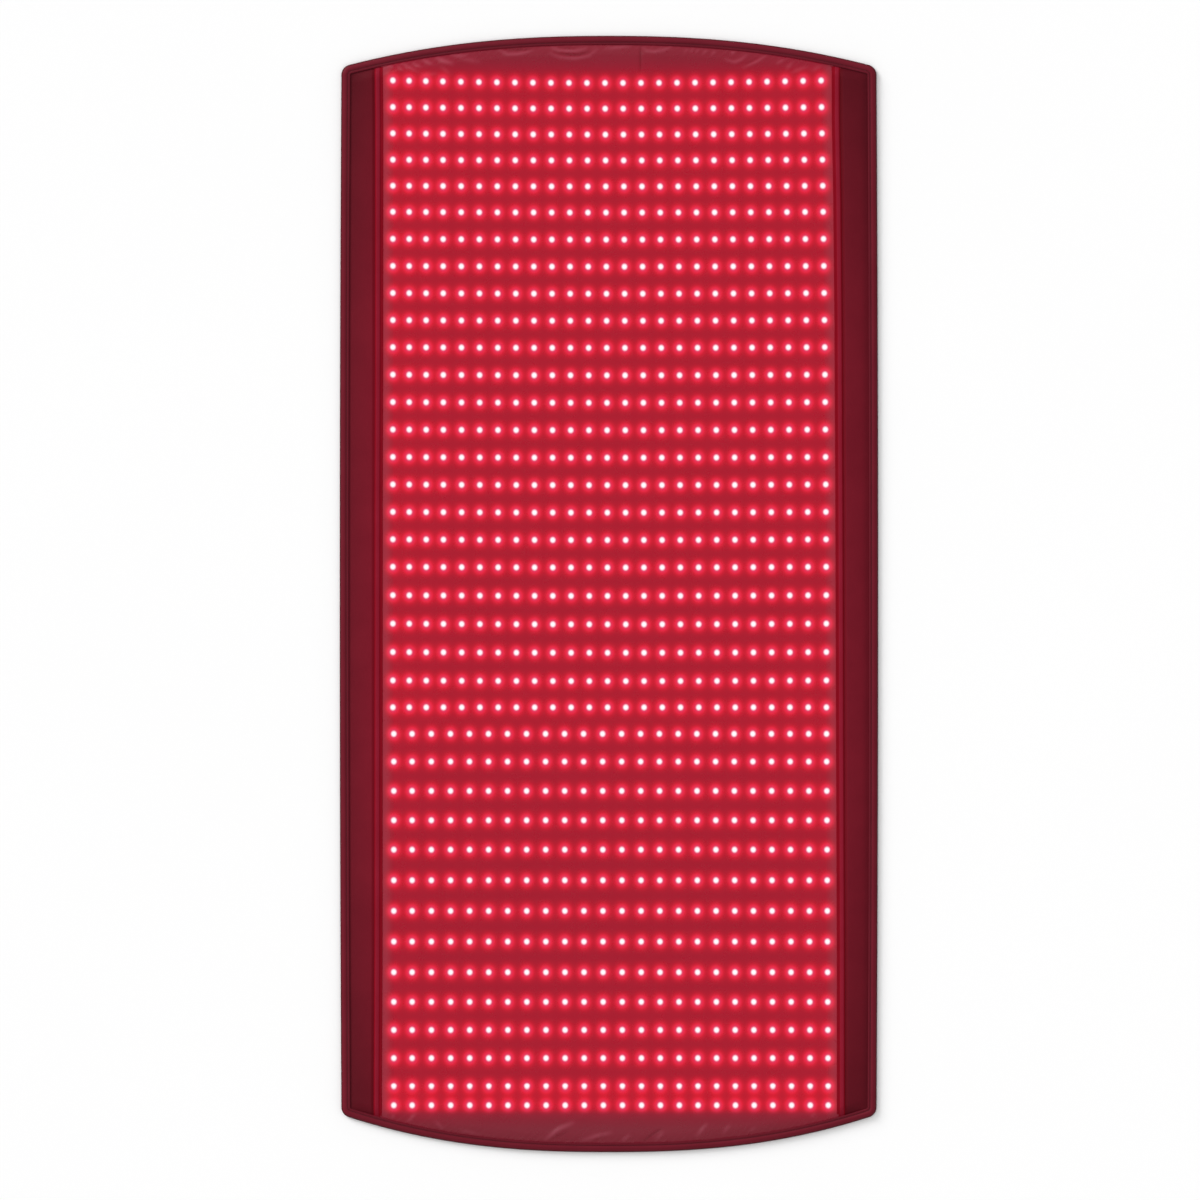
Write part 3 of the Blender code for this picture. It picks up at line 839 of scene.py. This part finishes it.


# The film's creases, listed one by one. Each is its half width, its height and the points that it runs
# through (across, along), in millimetres. A crease of less than nothing is a hollow.
length_creases = {"middle": ()}
length_creases["head"] = (
    (2.6, 0.6, -357, 853, -348, 850), (2.4, 0.6, -341, 851, -331, 845),
    (3.0, 0.8, -333, 856, -323, 850, -309, 843), (2.6, 0.8, -316, 856, -303, 850),
    (2.8, 0.9, -299, 862, -285, 855), (3.6, 1.2, -277, 865, -266, 860, -253, 856),
    (2.8, 0.8, -253, 870, -240, 868, -230, 870), (4.0, 0.5, -235, 863, -208, 858),
    (3.5, 0.5, -302, 838, -277, 839), (3.5, 0.5, -270, 850, -257, 839),
    (3.0, 1.0, -175, 877, -163, 871, -148, 871, -134, 874, -121, 879),
    (2.2, -0.8, -171, 880, -152, 879, -132, 879, -119, 880),
    (3.2, 0.9, -93, 872, -79, 866, -55, 864, -32, 868, -19, 879),
    (2.4, -0.8, -87, 874, -69, 871, -49, 870, -31, 875),
    (3.2, 1.0, -92, 882, -79, 877, -55, 876, -37, 880), (2.0, -0.5, -81, 882, -55, 880),
    (3.0, 0.7, -4, 880, 15, 882, 34, 885), (1.8, -0.8, 51, 886, 51, 841),
    (3.0, 0.9, 55, 881, 63, 876, 76, 875, 88, 878, 100, 883), (2.0, 0.5, 127, 880, 122, 874),
    (2.0, 0.5, 136, 880, 132, 874), (2.0, 0.5, 145, 880, 141, 874), (2.0, 0.6, 158, 879, 152, 872),
    (2.2, 0.6, 171, 877, 166, 870), (3.0, 0.9, 200, 876, 200, 872),
    (3.0, 0.9, 222, 870, 213, 862, 203, 858, 189, 862), (3.0, 0.8, 253, 868, 236, 858, 218, 850),
    (2.2, -0.5, 241, 865, 219, 853), (2.6, 0.7, 282, 863, 272, 856), (2.8, 0.6, 296, 858, 287, 846),
    (3.0, 0.6, 320, 851, 296, 841), (2.8, 0.6, 341, 853, 328, 844),
)
length_creases["foot"] = (
    (2.4, 0.6, -347, -840, -350, -847), (3.0, 0.7, -313, -840, -324, -852),
    (2.6, 0.6, -279, -852, -269, -862), (3.0, 0.4, -238, -866, -208, -873),
    (3.6, 1.0, -58, -854, -81, -864, -102, -880), (2.6, -0.5, -66, -867, -94, -881),
    (3.4, 0.8, 3, -870, -19, -875, -44, -882), (2.4, -0.4, -7, -876, -28, -884),
    (3.0, 0.7, 33, -874, 21, -884), (2.2, -0.7, 85, -863, 70, -872, 54, -884),
    (3.0, 0.7, 88, -869, 76, -880), (3.0, 0.8, 158, -856, 149, -867, 142, -875),
    (3.0, 0.6, 195, -858, 185, -870), (3.0, 0.4, 237, -861, 229, -867), (3.0, 0.5, 333, -840, 327, -844),
)
millimetre = 0.001


def walk(points):
    """How far along a path each of its points lies."""
    return add_up(np.hypot(*np.diff(points, axis=0).T))


def crease_height(x, y, creases):
    """How far the creases lift the film, each fading out at its two ends."""
    total = np.zeros_like(x)
    for width, height, *places in creases:
        stops = np.reshape(places, (-1, 2)) * millimetre
        walked = walk(stops)
        nearest = np.full_like(x, np.inf)
        reached = np.zeros_like(x)
        for (start_x, start_y), way, done in zip(stops, np.diff(stops, axis=0), walked):
            share = np.clip(((x - start_x) * way[0] + (y - start_y) * way[1]) / (way @ way), 0, 1)
            off = np.hypot(x - start_x - share * way[0], y - start_y - share * way[1])
            closer = off < nearest
            nearest = np.where(closer, off, nearest)
            reached = np.where(closer, done + share * np.hypot(*way), reached)
        taper = np.sin(np.pi * (0.12 + 0.76 * reached / walked[-1]))
        total += height * millimetre * taper * np.exp(-((nearest / (width * millimetre)) ** 2))
    return total


held_end = 0.001
held_side = 0.003
end_release = 0.0035
side_release = 0.010


def free_share(x, y):
    """How free the film is to lift: not at all under the binding and beside the welts."""
    end_share = np.clip((in_from_edges(x, y)[1] - binding_lip + held_end) / end_release, 0.0, 1.0)
    side_share = np.clip((film_half - held_side - np.abs(x)) / side_release, 0.0, 1.0)
    return end_share * side_share


pucker_height = 0.0007
pucker_reach = 0.009
pucker_spacing = 0.0125
pucker_slant = 0.011


def seam_puckers(x, y):
    """Small slanting puckers along the film's head and foot seams."""
    end = np.where(y > 0, 1, -1)
    away = in_from_edges(x, y)[1] - binding_lip
    fade = np.exp(-np.clip(away, 0, None) / pucker_reach)
    phase = x / pucker_spacing + end * away / pucker_slant
    wide = 0.6 * np.sin(2 * np.pi * phase + 1.9 * np.sin(x / 0.047))
    narrow = 0.4 * np.sin(2 * np.pi * (1.63 * phase + x / 0.09))
    return pucker_height * fade * np.clip(wide + narrow, 0, None) ** 1.5


wave_rise = 0.00014
fine_rise = 0.00005
margin_slope = 0.012


def slack(x, y):
    """The soft rise and fall of the film between its seams, and its looseness past the lamps."""
    wave = np.sin(x / 0.031 + 1.3 * np.sin(y / 0.083)) * np.sin(y / 0.043 + 1.1 * np.sin(x / 0.061))
    fine = np.sin(x / 0.0117 + 2 * np.sin(y / 0.029)) * np.sin(y / 0.0151 + 2 * np.sin(x / 0.023))
    loose = np.clip((np.abs(y) - margin_start) / margin_slope, 0, 1)
    return wave_rise * (1 + wave) + fine_rise * (1 + fine) + margin_loft * loose


full_crease = 0.001


def mark_creases(piece, creases):
    """Stores on each point how far it lies up a crease, from -1 to 1."""
    x, y, _ = read_out(piece.data.vertices, "co", 3).T
    share = (crease_height(x, y, creases) + 0.5 * seam_puckers(x, y)) * free_share(x, y) / full_crease
    stored = piece.data.attributes.new("crease", "FLOAT", "POINT")
    stored.data.foreach_set("value", np.clip(share, -1, 1).astype(np.float32))


def thicken(piece, thickness, offset=-1.0, angle=60):
    """Gives laid cloth its thickness and smooths it."""
    set_modifier(piece, "SOLIDIFY", thickness=thickness, offset=offset)
    bpy.ops.object.shade_smooth_by_angle(angle=math.radians(angle))


def lay_film(length):
    """One length of the film, with its creases, then its thickness."""
    lines = length_lines(length, step=0.0085, end_step=0.0016, inset=film_inset)
    if length == "middle":
        nearest = min(range(len(lines)), key=lambda number: abs(lines[number][0] - block_line))
        lines[nearest] = (block_line, 0, 0.0)
    across = np.linspace(-film_half, film_half, film_columns)
    creases = length_creases[length]

    def place(column, number):
        x = across[column]
        y = line_place(lines[number], x, film_inset)
        lift = slack(x, y) + seam_puckers(x, y) + crease_height(x, y, creases)
        z = padding_top(x, y) + film_seat + np.maximum(lift, 0.0) * free_share(x, y)
        return x + seam_shift(x, y), y, z, x, y

    film = lay_grid(f"{length}_window_film", len(across), len(lines), place)
    thicken(film, film_thickness, offset=1.0, angle=50)
    mark_lamp_cells(film)
    mark_creases(film, creases)
    film.data.materials.append(film_finish)
    fasten(film, section_nodes(length, "window_film"))


for length in lengths:
    lay_film(length)


# The welts. A narrow strip of the same coated cloth as the borders is folded over, laid along each
# side of the film and sewn down with it. Its thin inner lip shows beside the film as a red groove.
sides = {"left": -1, "right": 1}
welt_profile = (
    (0.3664, 0.0113), (0.3666, 0.0117), (0.3674, 0.0118), (0.3688, 0.0118), (0.3702, 0.0117),
    (0.3711, 0.0119), (0.3717, 0.0125), (0.3726, 0.0128), (0.3742, 0.0129), (0.3757, 0.0130),
    (0.3769, 0.0130), (0.3778, 0.0127), (0.3786, 0.0118), (0.3798, 0.0109),
)
welt_outer_point = 11
welt_lip_points = 6
welt_thickness = 0.0004
sewn_share = 0.35

# A node group: pebbled grain of coated cloth, from a place on it and the size of a pebble.
inputs = {"Place": "Vector", "Pebbles": "Float"}
cloth_grain, given, out = new_group("cloth_grain", inputs, {"Height": "Float", "Rubbed": "Float"})
pebbles = add_node(cloth_grain, "TexVoronoi", {"Vector": given["Place"], "Scale": given["Pebbles"]})
dome = spread(pebbles.outputs["Distance"], 0.15, 0.75, 1.0, 0.0, smooth=True)
rolling = noise_node(given["Place"], 90, 4)
wire(math_node("MULTIPLY_ADD", rolling, 0.8, dome), out["Height"])
wire(noise_node(given["Place"], 14, 5, 0.6), out["Rubbed"])


def finish_coated_cloth(name, dull, rubbed, pebbles, specular=0.06, roughness=0.5):
    """Red coated cloth with a pebbled grain, a little paler where it is rubbed. Gives the material,
    its shader and its colour's socket."""
    material, shader = new_material(name, roughness, specular)
    tree = material.node_tree
    inputs = {"Place": cloth_place(tree), "Pebbles": pebbles}
    grain = add_node(tree, "Group", inputs, node_tree=cloth_grain).outputs
    height = grain["Height"]
    colour = mix_colours(spread(grain["Rubbed"], 0.35, 0.7), dull, rubbed)
    wire(colour, shader.inputs["Base Color"])
    wire(spread(height, 0.2, 1.4, roughness + 0.12, roughness - 0.08), shader.inputs["Roughness"])
    set_bump(shader, height, strength=0.35, distance=0.00025)
    return material, shader, colour


welt_dull = (0.228, 0.0065, 0.0205)
welt_rubbed = (0.252, 0.0085, 0.0255)
# The lip cloth is deeper red and duller than the welt: painted shade of the groove beside the film, also
# laid on the welt's outer flank as the seam's shade.
lip_dull = (0.215, 0.0034, 0.0108)
lip_rubbed = (0.236, 0.0044, 0.0130)
welt_cloth = finish_coated_cloth("welt_cloth", welt_dull, welt_rubbed, 1300)[0]
welt_lip_shade_cloth = finish_coated_cloth("welt_lip", lip_dull, lip_rubbed, 1300, specular=0.02, roughness=0.8)[0]


def seated_height(x, y, height):
    """Where the outside of a cover lies, for its height on the flat: pressed thin under the binding."""
    foam_top = padding_top(x, y)
    free = (foam_top - pad_edge_top) / (pad_top - pad_edge_top)
    pressed = sewn_share + (1 - sewn_share) * np.clip(free, 0, 1)
    return foam_top + film_seat + (height - pad_top - film_seat) * pressed


def stretch_along(piece, length, kind, thickness):
    """Thickens a laid strip of cloth along a side and fastens it."""
    thicken(piece, thickness)
    fasten(piece, section_nodes(length, kind))


def lay_welt(length, side):
    """One length of a welt, swept along its profile, then its thickness."""
    lines = length_lines(length, step=0.010, end_step=0.002, inset=film_inset)
    across, heights = np.array(welt_profile)[:: sides[side]].T

    def place(column, number):
        flat_x = sides[side] * across[column]
        y = line_place(lines[number], flat_x, film_inset)
        x = flat_x + seam_shift(flat_x, y)
        return x, y, seated_height(x, y, heights[column]), flat_x, y

    welt = lay_grid(f"{length}_{side}_welt", len(across), len(lines), place)
    welt.data.materials.append(welt_cloth)
    welt.data.materials.append(welt_lip_shade_cloth)
    # Off the welt's top, the lip in the groove and the outer flank by the seam take the darker, duller lip
    # cloth: painted shade.
    for face in welt.data.polygons:
        centre_x, centre_y, _ = face.center
        out = abs(centre_x - seam_shift(centre_x, centre_y))
        on_top = welt_profile[welt_lip_points][0] < out < welt_profile[welt_outer_point][0]
        face.material_index = int(not on_top)
    stretch_along(welt, length, f"{side}_welt", welt_thickness)


for length in lengths:
    for side in sides:
        lay_welt(length, side)


# The borders. A panel of coated cloth covers the foam from each welt out to the binding. It is
# sewn into the welt's seam and under the binding, and the foam fills it out softly.
border_inner = 0.3796
border_heights = (
    (0.0, 0.0106), (0.0010, 0.0109), (0.0022, 0.0112), (0.0034, 0.0116), (0.0046, 0.0119),
    (0.0060, 0.0119),
)
seam_end = 0.3836
border_thickness = 0.0008
border_inset = 0.0050
ripple_length = 0.0107
ripple_height = 0.00016
ripple_reach = 0.0045


# The borders' coated cloth, with light and shade painted into its colour: a painted glow at
# mid-length and beside the film, as if the lamps' light reached it, a painted lighter left side,
# painted shade towards the binding, and deeper red in the welt's painted shade.
glow_start = 0.385
right_start = 0.406
shade_end = 0.420
welt_shade = (seam_end - 0.0006, seam_end + 0.0008)
dull = (0.150, 0.0050, 0.0145)
rubbed = (0.172, 0.0065, 0.0170)
border_cloth, shader, cloth = finish_coated_cloth("border_cloth", dull, rubbed, 1100, specular=0.07)
across, along, _ = split(cloth_place(border_cloth.node_tree))
out = product(math_node("ABSOLUTE", along), 1 / half_length)
far = spread(math_node("POWER", out, 3.0), 0.0, 1.0, 1.0, 0.50)
left = spread(across, -shade_end, -glow_start, 0.78, 1.10)
between = spread(across, -glow_start, glow_start, 1.0, 0.87)
right = spread(across, right_start, shade_end, 1.04, 0.83, smooth=True)
off_middle = math_node("ABSOLUTE", across)
shaded = spread(off_middle, *welt_shade, smooth=True)
cloth = mix_colours(shaded, (0.160, 0.0022, 0.0100), cloth)
wire(scaled_colour(product(far, left, between, right), cloth), shader.inputs["Base Color"])


def border_ripple(x, y):
    """Small gathers in the border where the binding's stitches pull it down."""
    from_lip = side_edge(y) - np.abs(x) - binding_lip
    fade = np.exp(-np.clip(from_lip, 0, None) / ripple_reach)
    wave = np.sin(2 * np.pi * y / ripple_length + 1.7 * np.sin(y / 0.061 + x))
    return ripple_height * fade * (wave - 0.6)


border_columns = 20
border_flat = 0.009


def lay_border(length, side):
    """One length of a border, from the welt's seam to under the binding, then its thickness."""
    lines = length_lines(length, step=0.0027, end_step=0.0014, inset=border_inset)
    hem, hem_height = np.array(border_heights).T

    def place(column, number):
        edge = side_edge(lines[number][0]) - border_inset
        out = np.concatenate([hem, np.linspace(border_flat, edge - border_inner, border_columns)])
        high = np.concatenate([hem_height, np.full(border_columns, hem_height[-1])])
        out, high = out[:: sides[side]][column], high[:: sides[side]][column]
        flat_x = sides[side] * (border_inner + out)
        y = line_place(lines[number], flat_x, border_inset)
        x = flat_x + seam_shift(flat_x, y) * (1 - out / (edge - border_inner))
        return x, y, seated_height(x, y, high) + border_ripple(x, y), flat_x, y

    border = lay_grid(f"{length}_{side}_border", len(hem) + border_columns, len(lines), place)
    border.data.materials.append(border_cloth)
    stretch_along(border, length, f"{side}_border", border_thickness)


for length in lengths:
    for side in sides:
        lay_border(length, side)


# The back cover. One plain sheet of coated cloth closes the underside, sewn in under the binding
# all round. It lies nearly flat, with soft hollows, and it is creased along the folds.
back_thickness = 0.0008
back_inset = 0.0142
back_lift = 0.00035
flat_margin = 0.02
hem_lift = 0.0004
hem_width = 0.003
crease_depth = 0.0004
crease_width = 0.0025
back_dull = (0.105, 0.0050, 0.0125)
back_rubbed = (0.122, 0.0064, 0.0150)
back_cloth = finish_coated_cloth("back_cloth", back_dull, back_rubbed, 800, specular=0.09)[0]


def back_height(x, y):
    """How far the back cover stands off the floor: at its edges, in its hollows and its creases."""
    to_edge = np.minimum(*in_from_edges(x, y)) - back_inset
    hem = hem_lift * (1 - np.clip(to_edge / hem_width, 0, 1))
    hollow = np.sin(x / 0.049 + 1.2 * np.sin(y / 0.11)) * np.sin(y / 0.071 + 1.4 * np.sin(x / 0.093))
    crease = sum(np.exp(-(((y - fold) / crease_width) ** 2)) for fold in folds.values())
    lift = back_lift * (0.5 + 0.5 * hollow) * np.clip(to_edge / flat_margin, 0, 1)
    return np.maximum(hem, lift) + crease_depth * crease


def lay_back(length):
    """One length of the back cover, facing down, then its thickness."""
    lines = length_lines(length, step=0.009, end_step=0.003, inset=back_inset)
    out = np.concatenate([np.linspace(-1, -0.985, 5)[:-1], np.linspace(-0.985, 0.985, 90)])
    out = np.concatenate([out, np.linspace(0.985, 1, 5)[1:]])[::-1]

    def place(column, number):
        x = (side_edge(lines[number][0]) - back_inset) * out[column]
        y = line_place(lines[number], x, back_inset)
        return x, y, back_height(x, y)

    back = lay_grid(f"{length}_back_cover", len(out), len(lines), place)
    back.data.materials.append(back_cloth)
    thicken(back, back_thickness)
    fasten(back, section_nodes(length, "back_cover"))


for length in lengths:
    lay_back(length)


# The binding. A tape of coated cloth is folded round the mat's whole edge and sewn through, with
# its lip turned in. It turns the four rounded corners in one piece, and it is joined mid-length.
channel_depth = 0.0095
tape_profile = (
    (0.0132, 0.0069), (0.0135, 0.0073), (0.0133, 0.0078), (0.0127, 0.0080), (0.0119, 0.0081),
    (0.0111, 0.0080), (0.0104, 0.0078), (0.0099, 0.00745), (0.0095, 0.0073), (0.0090, 0.00745),
    (0.0084, 0.0079), (0.0073, 0.0083), (0.0058, 0.0085), (0.0042, 0.0083), (0.0026, 0.0077),
    (0.0011, 0.0067), (-0.0002, 0.0055), (-0.0010, 0.0041), (-0.0010, 0.0029), (-0.0003, 0.0017),
    (0.0008, 0.0009), (0.0024, 0.0004), (0.0045, 0.0001), (0.0070, 0.0000), (0.0088, 0.0002),
    (0.0095, 0.0005), (0.0102, 0.0002), (0.0118, 0.0001), (0.0132, 0.0002), (0.0139, 0.0004),
)
channel_point = 8
outermost_point = 17
tape_thickness = 0.0007
corner_points = 14


def edge_path(end, step):
    """The mat's outer edge round one end, from the left side's meeting to the right's: each
    point's place and the way that points into the mat there."""
    centre_x, centre_y, lean = corner_centre(end)
    lines = length_lines("head" if end > 0 else "foot", step, step, 0.0)
    along = sorted(abs(y) for y, bent, _ in lines if not bent)
    rest = np.linspace(along[-1], centre_y, round((centre_y - along[-1]) / step) + 1)[1:-1]
    straight = np.concatenate([along, rest])
    side = np.stack([side_edge(straight), straight, -np.ones_like(straight), 0 * straight], axis=1)
    turn = np.linspace(0, math.pi / 2 - lean, corner_points)
    middle = np.array([(side_edge(centre_y) - corner_radius, centre_y)] * corner_points)
    way = -np.stack([np.cos(turn), np.sin(turn)], axis=1)
    corner = np.hstack([middle - corner_radius * way, way])
    reach = np.linspace(corner[-1, 0], 0, round(corner[-1, 0] / step) + 1)[1:]
    curve = end_edge(end, reach)
    slope = end_rise[end] * end_power[end] / corner[-1, 0]
    slope = slope * (reach / corner[-1, 0]) ** (end_power[end] - 1)
    inward = -np.stack([slope, np.ones_like(slope)], axis=1) / np.hypot(1, slope)[:, None]
    half = np.vstack([side, corner, np.hstack([np.stack([reach, curve], axis=1), inward])])
    path = np.vstack([half * (-1, 1, -1, 1), half[-2::-1]])
    return path * (1, end, 1, end)


def side_path(side, step):
    """The mat's outer edge along one side of the middle length."""
    y = np.array([line[0] for line in length_lines("middle", step, step, 0.0)])
    x = sides[side] * side_edge(y)
    return np.stack([x, y, np.full_like(y, -sides[side]), 0 * y], axis=1)


tape = np.array(tape_profile)
tape_measure = walk(tape)
channel_place = float(tape_measure[channel_point])
outer_place = float(tape_measure[outermost_point])


# The tape's coated cloth, with painted shade: darker towards its outer edge, where it turns down,
# in the stitched channel and on the lip inside it.
channel_shade = (0.0004, 0.0013)
outer_shade = (0.0018, 0.0038)
lip_shade = (channel_place - 0.0006, channel_place + 0.0006)
dull = (0.132, 0.0062, 0.0155)
rubbed = (0.150, 0.0082, 0.0190)
binding_tape, shader, cloth = finish_coated_cloth("binding_tape", dull, rubbed, 1200, 0.085, 0.42)
measure = split(cloth_place(binding_tape.node_tree))[0]
channel = math_node("ABSOLUTE", math_node("SUBTRACT", measure, channel_place))
channel = spread(channel, *channel_shade, 0.80, 1.0, smooth=True)
outer = math_node("ABSOLUTE", math_node("SUBTRACT", measure, outer_place))
outer = spread(outer, *outer_shade, 0.45, 1.0, smooth=True)
lip = spread(measure, *lip_shade, 0.88, 1.0)
wire(scaled_colour(product(channel, outer, lip), cloth), shader.inputs["Base Color"])


def lay_binding(name, path, length, nodes):
    """One piece of the binding: the tape's profile swept along the mat's edge, then its wall."""
    walked = walk(path[:, :2])

    def place(column, number):
        x, y, inward_x, inward_y = path[number]
        depth, z = tape[column].T
        measure = tape_measure[column]
        return x + inward_x * depth, y + inward_y * depth, z, measure, np.full_like(z, walked[number])

    binding = lay_grid(name, len(tape), len(path), place)
    face_out()
    crest = max(binding.data.polygons, key=lambda face: face.center.z)
    if crest.normal.z < 0:
        binding.data.flip_normals()
    set_modifier(binding, "SOLIDIFY", thickness=tape_thickness, offset=-1.0)
    if "foot_end_binding" in nodes:
        cut_pocket(binding, *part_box("inlet_socket"))
    bpy.ops.object.shade_smooth_by_angle(angle=math.radians(60))
    binding.data.materials.append(binding_tape)
    fasten(binding, nodes)


tape_step = 0.003
edges = []
for length, end in (("head", 1), ("foot", -1)):
    nodes = [f"{section}_{side}_binding" for section in length_sections[length] for side in sides]
    path = edge_path(end, tape_step)
    edges.append((f"{length}_binding", path, length, [f"{length}_end_binding", *nodes]))
for side in sides:
    nodes = section_nodes("middle", f"{side}_binding")
    edges.append((f"middle_{side}_binding", side_path(side, tape_step), "middle", nodes))
for edge in edges:
    lay_binding(*edge)


# The stitches. A lockstitch in dark red thread runs round the mat in the binding's channel, and
# shows alike on the top and on the underside. One stitch is modelled and copied along the edge.
stitch_pitch = 0.0042
stitch_length = 0.0036
stitch_width = 0.0007
stitch_dip = 0.0004
stitch_end = 0.55
top_stitch_height = 0.0075
back_stitch_height = 0.0004
step_ahead = 0.001

thread = mottled_finish(
    "thread",
    tones=((0.060, 0.006, 0.010), (0.11, 0.010, 0.018)),
    scale=2500,
    detail=2,
    roughness=0.6,
    specular=0.2,
    texture=(0.3, 0.0001),
)


# One stitch at the origin, along X: a round strand whose ends turn down into the cloth.
bpy.ops.object.select_all(action="DESELECT")
bpy.ops.mesh.primitive_cylinder_add(vertices=6, radius=stitch_width / 2, depth=stitch_length / 2)
one_stitch = bpy.context.object
one_stitch.rotation_euler = (0, math.pi / 2, 0)
bpy.ops.object.transform_apply(rotation=True)
for way in (-1, 1):
    edit_faces(one_stitch, lambda face: face.normal.x * way > 0.9)
    move = (way * stitch_length / 4, 0, -stitch_dip)
    bpy.ops.mesh.extrude_region_move(TRANSFORM_OT_translate={"value": move})
    bpy.ops.transform.resize(value=(1, stitch_end, stitch_end))
bpy.ops.object.mode_set(mode="OBJECT")


def sew(name, path, height, turn):
    """A row of stitches along one piece of the binding, on the top or on the underside."""
    inside = path[:, :2] + path[:, 2:] * channel_depth
    walked = walk(inside)
    count = round(walked[-1] / stitch_pitch)
    stops = (np.arange(count) + 0.5) * walked[-1] / count
    x, y = (np.interp(stops, walked, inside[:, axis]) for axis in (0, 1))
    ahead_x, ahead_y = (np.interp(stops + step_ahead, walked, inside[:, axis]) for axis in (0, 1))
    angle = np.arctan2(ahead_y - y, ahead_x - x)
    places = []
    for stitch_x, stitch_y, lean in zip(x, y, angle):
        move = Matrix.Translation((stitch_x, stitch_y, height))
        places.append(move @ Matrix.Rotation(lean, 4, "Z") @ turn)
    row = copy_to(name, one_stitch, places)
    row.data.materials.append(thread)
    bend_with(row)


upright = Matrix.Identity(4)
turned_over = Matrix.Rotation(math.pi, 4, "X")
for name, path, length, _ in edges:
    sew(name.replace("binding", "top_stitches"), path, top_stitch_height, upright)
    sew(name.replace("binding", "back_stitches"), path, back_stitch_height, turned_over)
bpy.data.objects.remove(one_stitch)


# The supply. Low voltage comes in at a flat two-pin socket in the foot end's edge. A flat lead
# takes it to a moulded terminal box inside the foam, and two wires lead from there to the rails.
def finish_supply(name, tones, roughness, metallic, scale):
    """A supply part's finish: two close tones in fine mottling, with a slight texture."""
    texture = (0.15, 0.0001)
    return mottled_finish(name, tones, scale, 4, roughness, 0.4, texture, metallic=metallic)


moulded = finish_supply("moulded_nylon", ((0.020, 0.018, 0.018), (0.030, 0.027, 0.027)), 0.5, 0.0, 1500)
lead_skin = finish_supply("lead_skin", ((0.030, 0.028, 0.028), (0.042, 0.040, 0.040)), 0.42, 0.0, 700)
brass = finish_supply("brass", ((0.72, 0.50, 0.20), (0.80, 0.58, 0.27)), 0.28, 1.0, 900)
copper = finish_supply("tinned_copper", ((0.70, 0.42, 0.30), (0.78, 0.52, 0.40)), 0.32, 1.0, 900)
supply_finishes = {
    "terminal_box": moulded,
    "inlet_socket": moulded,
    "inlet_left_pin": brass,
    "inlet_right_pin": brass,
    "inner_lead": lead_skin,
    "left_supply_wire": copper,
    "right_supply_wire": copper,
}
for node, material in supply_finishes.items():
    refinish(frame["nodes"][node], material)


# The floor is a plain white sweep, and the light is a white studio with a soft key light from the
# upper left. They aren't part of the mat.
near_white = (0.99, 0.99, 0.99)
white = (1.0, 1.0, 1.0)
floor_size = 40
floor_gap = 0.0002
bpy.ops.object.select_all(action="DESELECT")
bpy.ops.mesh.primitive_plane_add(size=floor_size, location=(0, 0, -floor_gap))
floor = bpy.context.object
floor.name = "floor"
bpy.ops.object.transform_apply(location=True)
floor.data.materials.append(mottled_finish("floor", (near_white, white), 2, 2, roughness=0.9, specular=0.0))

sky_share = 0.65
top_share = 0.08
key_share = 1 - sky_share - top_share

world = bpy.data.worlds.new("studio")
bpy.context.scene.world = world
world.use_nodes = True
sky = world.node_tree
fill = sky.nodes["Background"]
wire(white, fill.inputs["Color"])
wire(sky_share, fill.inputs["Strength"])
seen = add_node(sky, "Background", {"Color": white, "Strength": 1.0})
ray = add_node(sky, "LightPath").outputs
direct = math_node("MAXIMUM", ray["Is Camera Ray"], ray["Is Glossy Ray"])
direct = math_node("MAXIMUM", direct, ray["Is Transmission Ray"])
choice = add_node(sky, "MixShader", {0: direct, 1: fill.outputs[0], 2: seen.outputs[0]})
wire(choice.outputs[0], sky.nodes["World Output"].inputs["Surface"])


def add_sun(name, share, height, way, width):
    """A soft sun from a height above the floor and a way round it, for a share of the light."""
    bpy.ops.object.light_add(type="SUN", location=(-2, 2, 3))
    sun = bpy.context.object
    sun.name = name
    sun.data.energy = share * math.pi / math.sin(math.radians(height))
    sun.data.angle = math.radians(width)
    sun.rotation_euler = (0, math.radians(90 - height), math.radians(way))


add_sun("key_light", key_share, height=24, way=137, width=27)
add_sun("top_light", top_share, height=65, way=137, width=20)

photo_side = 1200
photo_pixel = 0.00161435
photo_middle = (608.93, 593.97)
camera_height = 40.0
sensor_width = 36
bpy.ops.object.camera_add()
camera = bpy.context.object
camera.name = "camera"
off_x = (photo_side / 2 - photo_middle[0]) * photo_pixel
off_y = (photo_middle[1] - photo_side / 2) * photo_pixel
camera.location = (off_x, off_y, camera_height)
camera.rotation_euler = (0, 0, 0)
camera.data.sensor_width = sensor_width
camera.data.lens = sensor_width * camera_height / (photo_side * photo_pixel)
camera.data.clip_end = 100
bpy.context.scene.camera = camera
bpy.context.scene.view_settings.view_transform = "Standard"
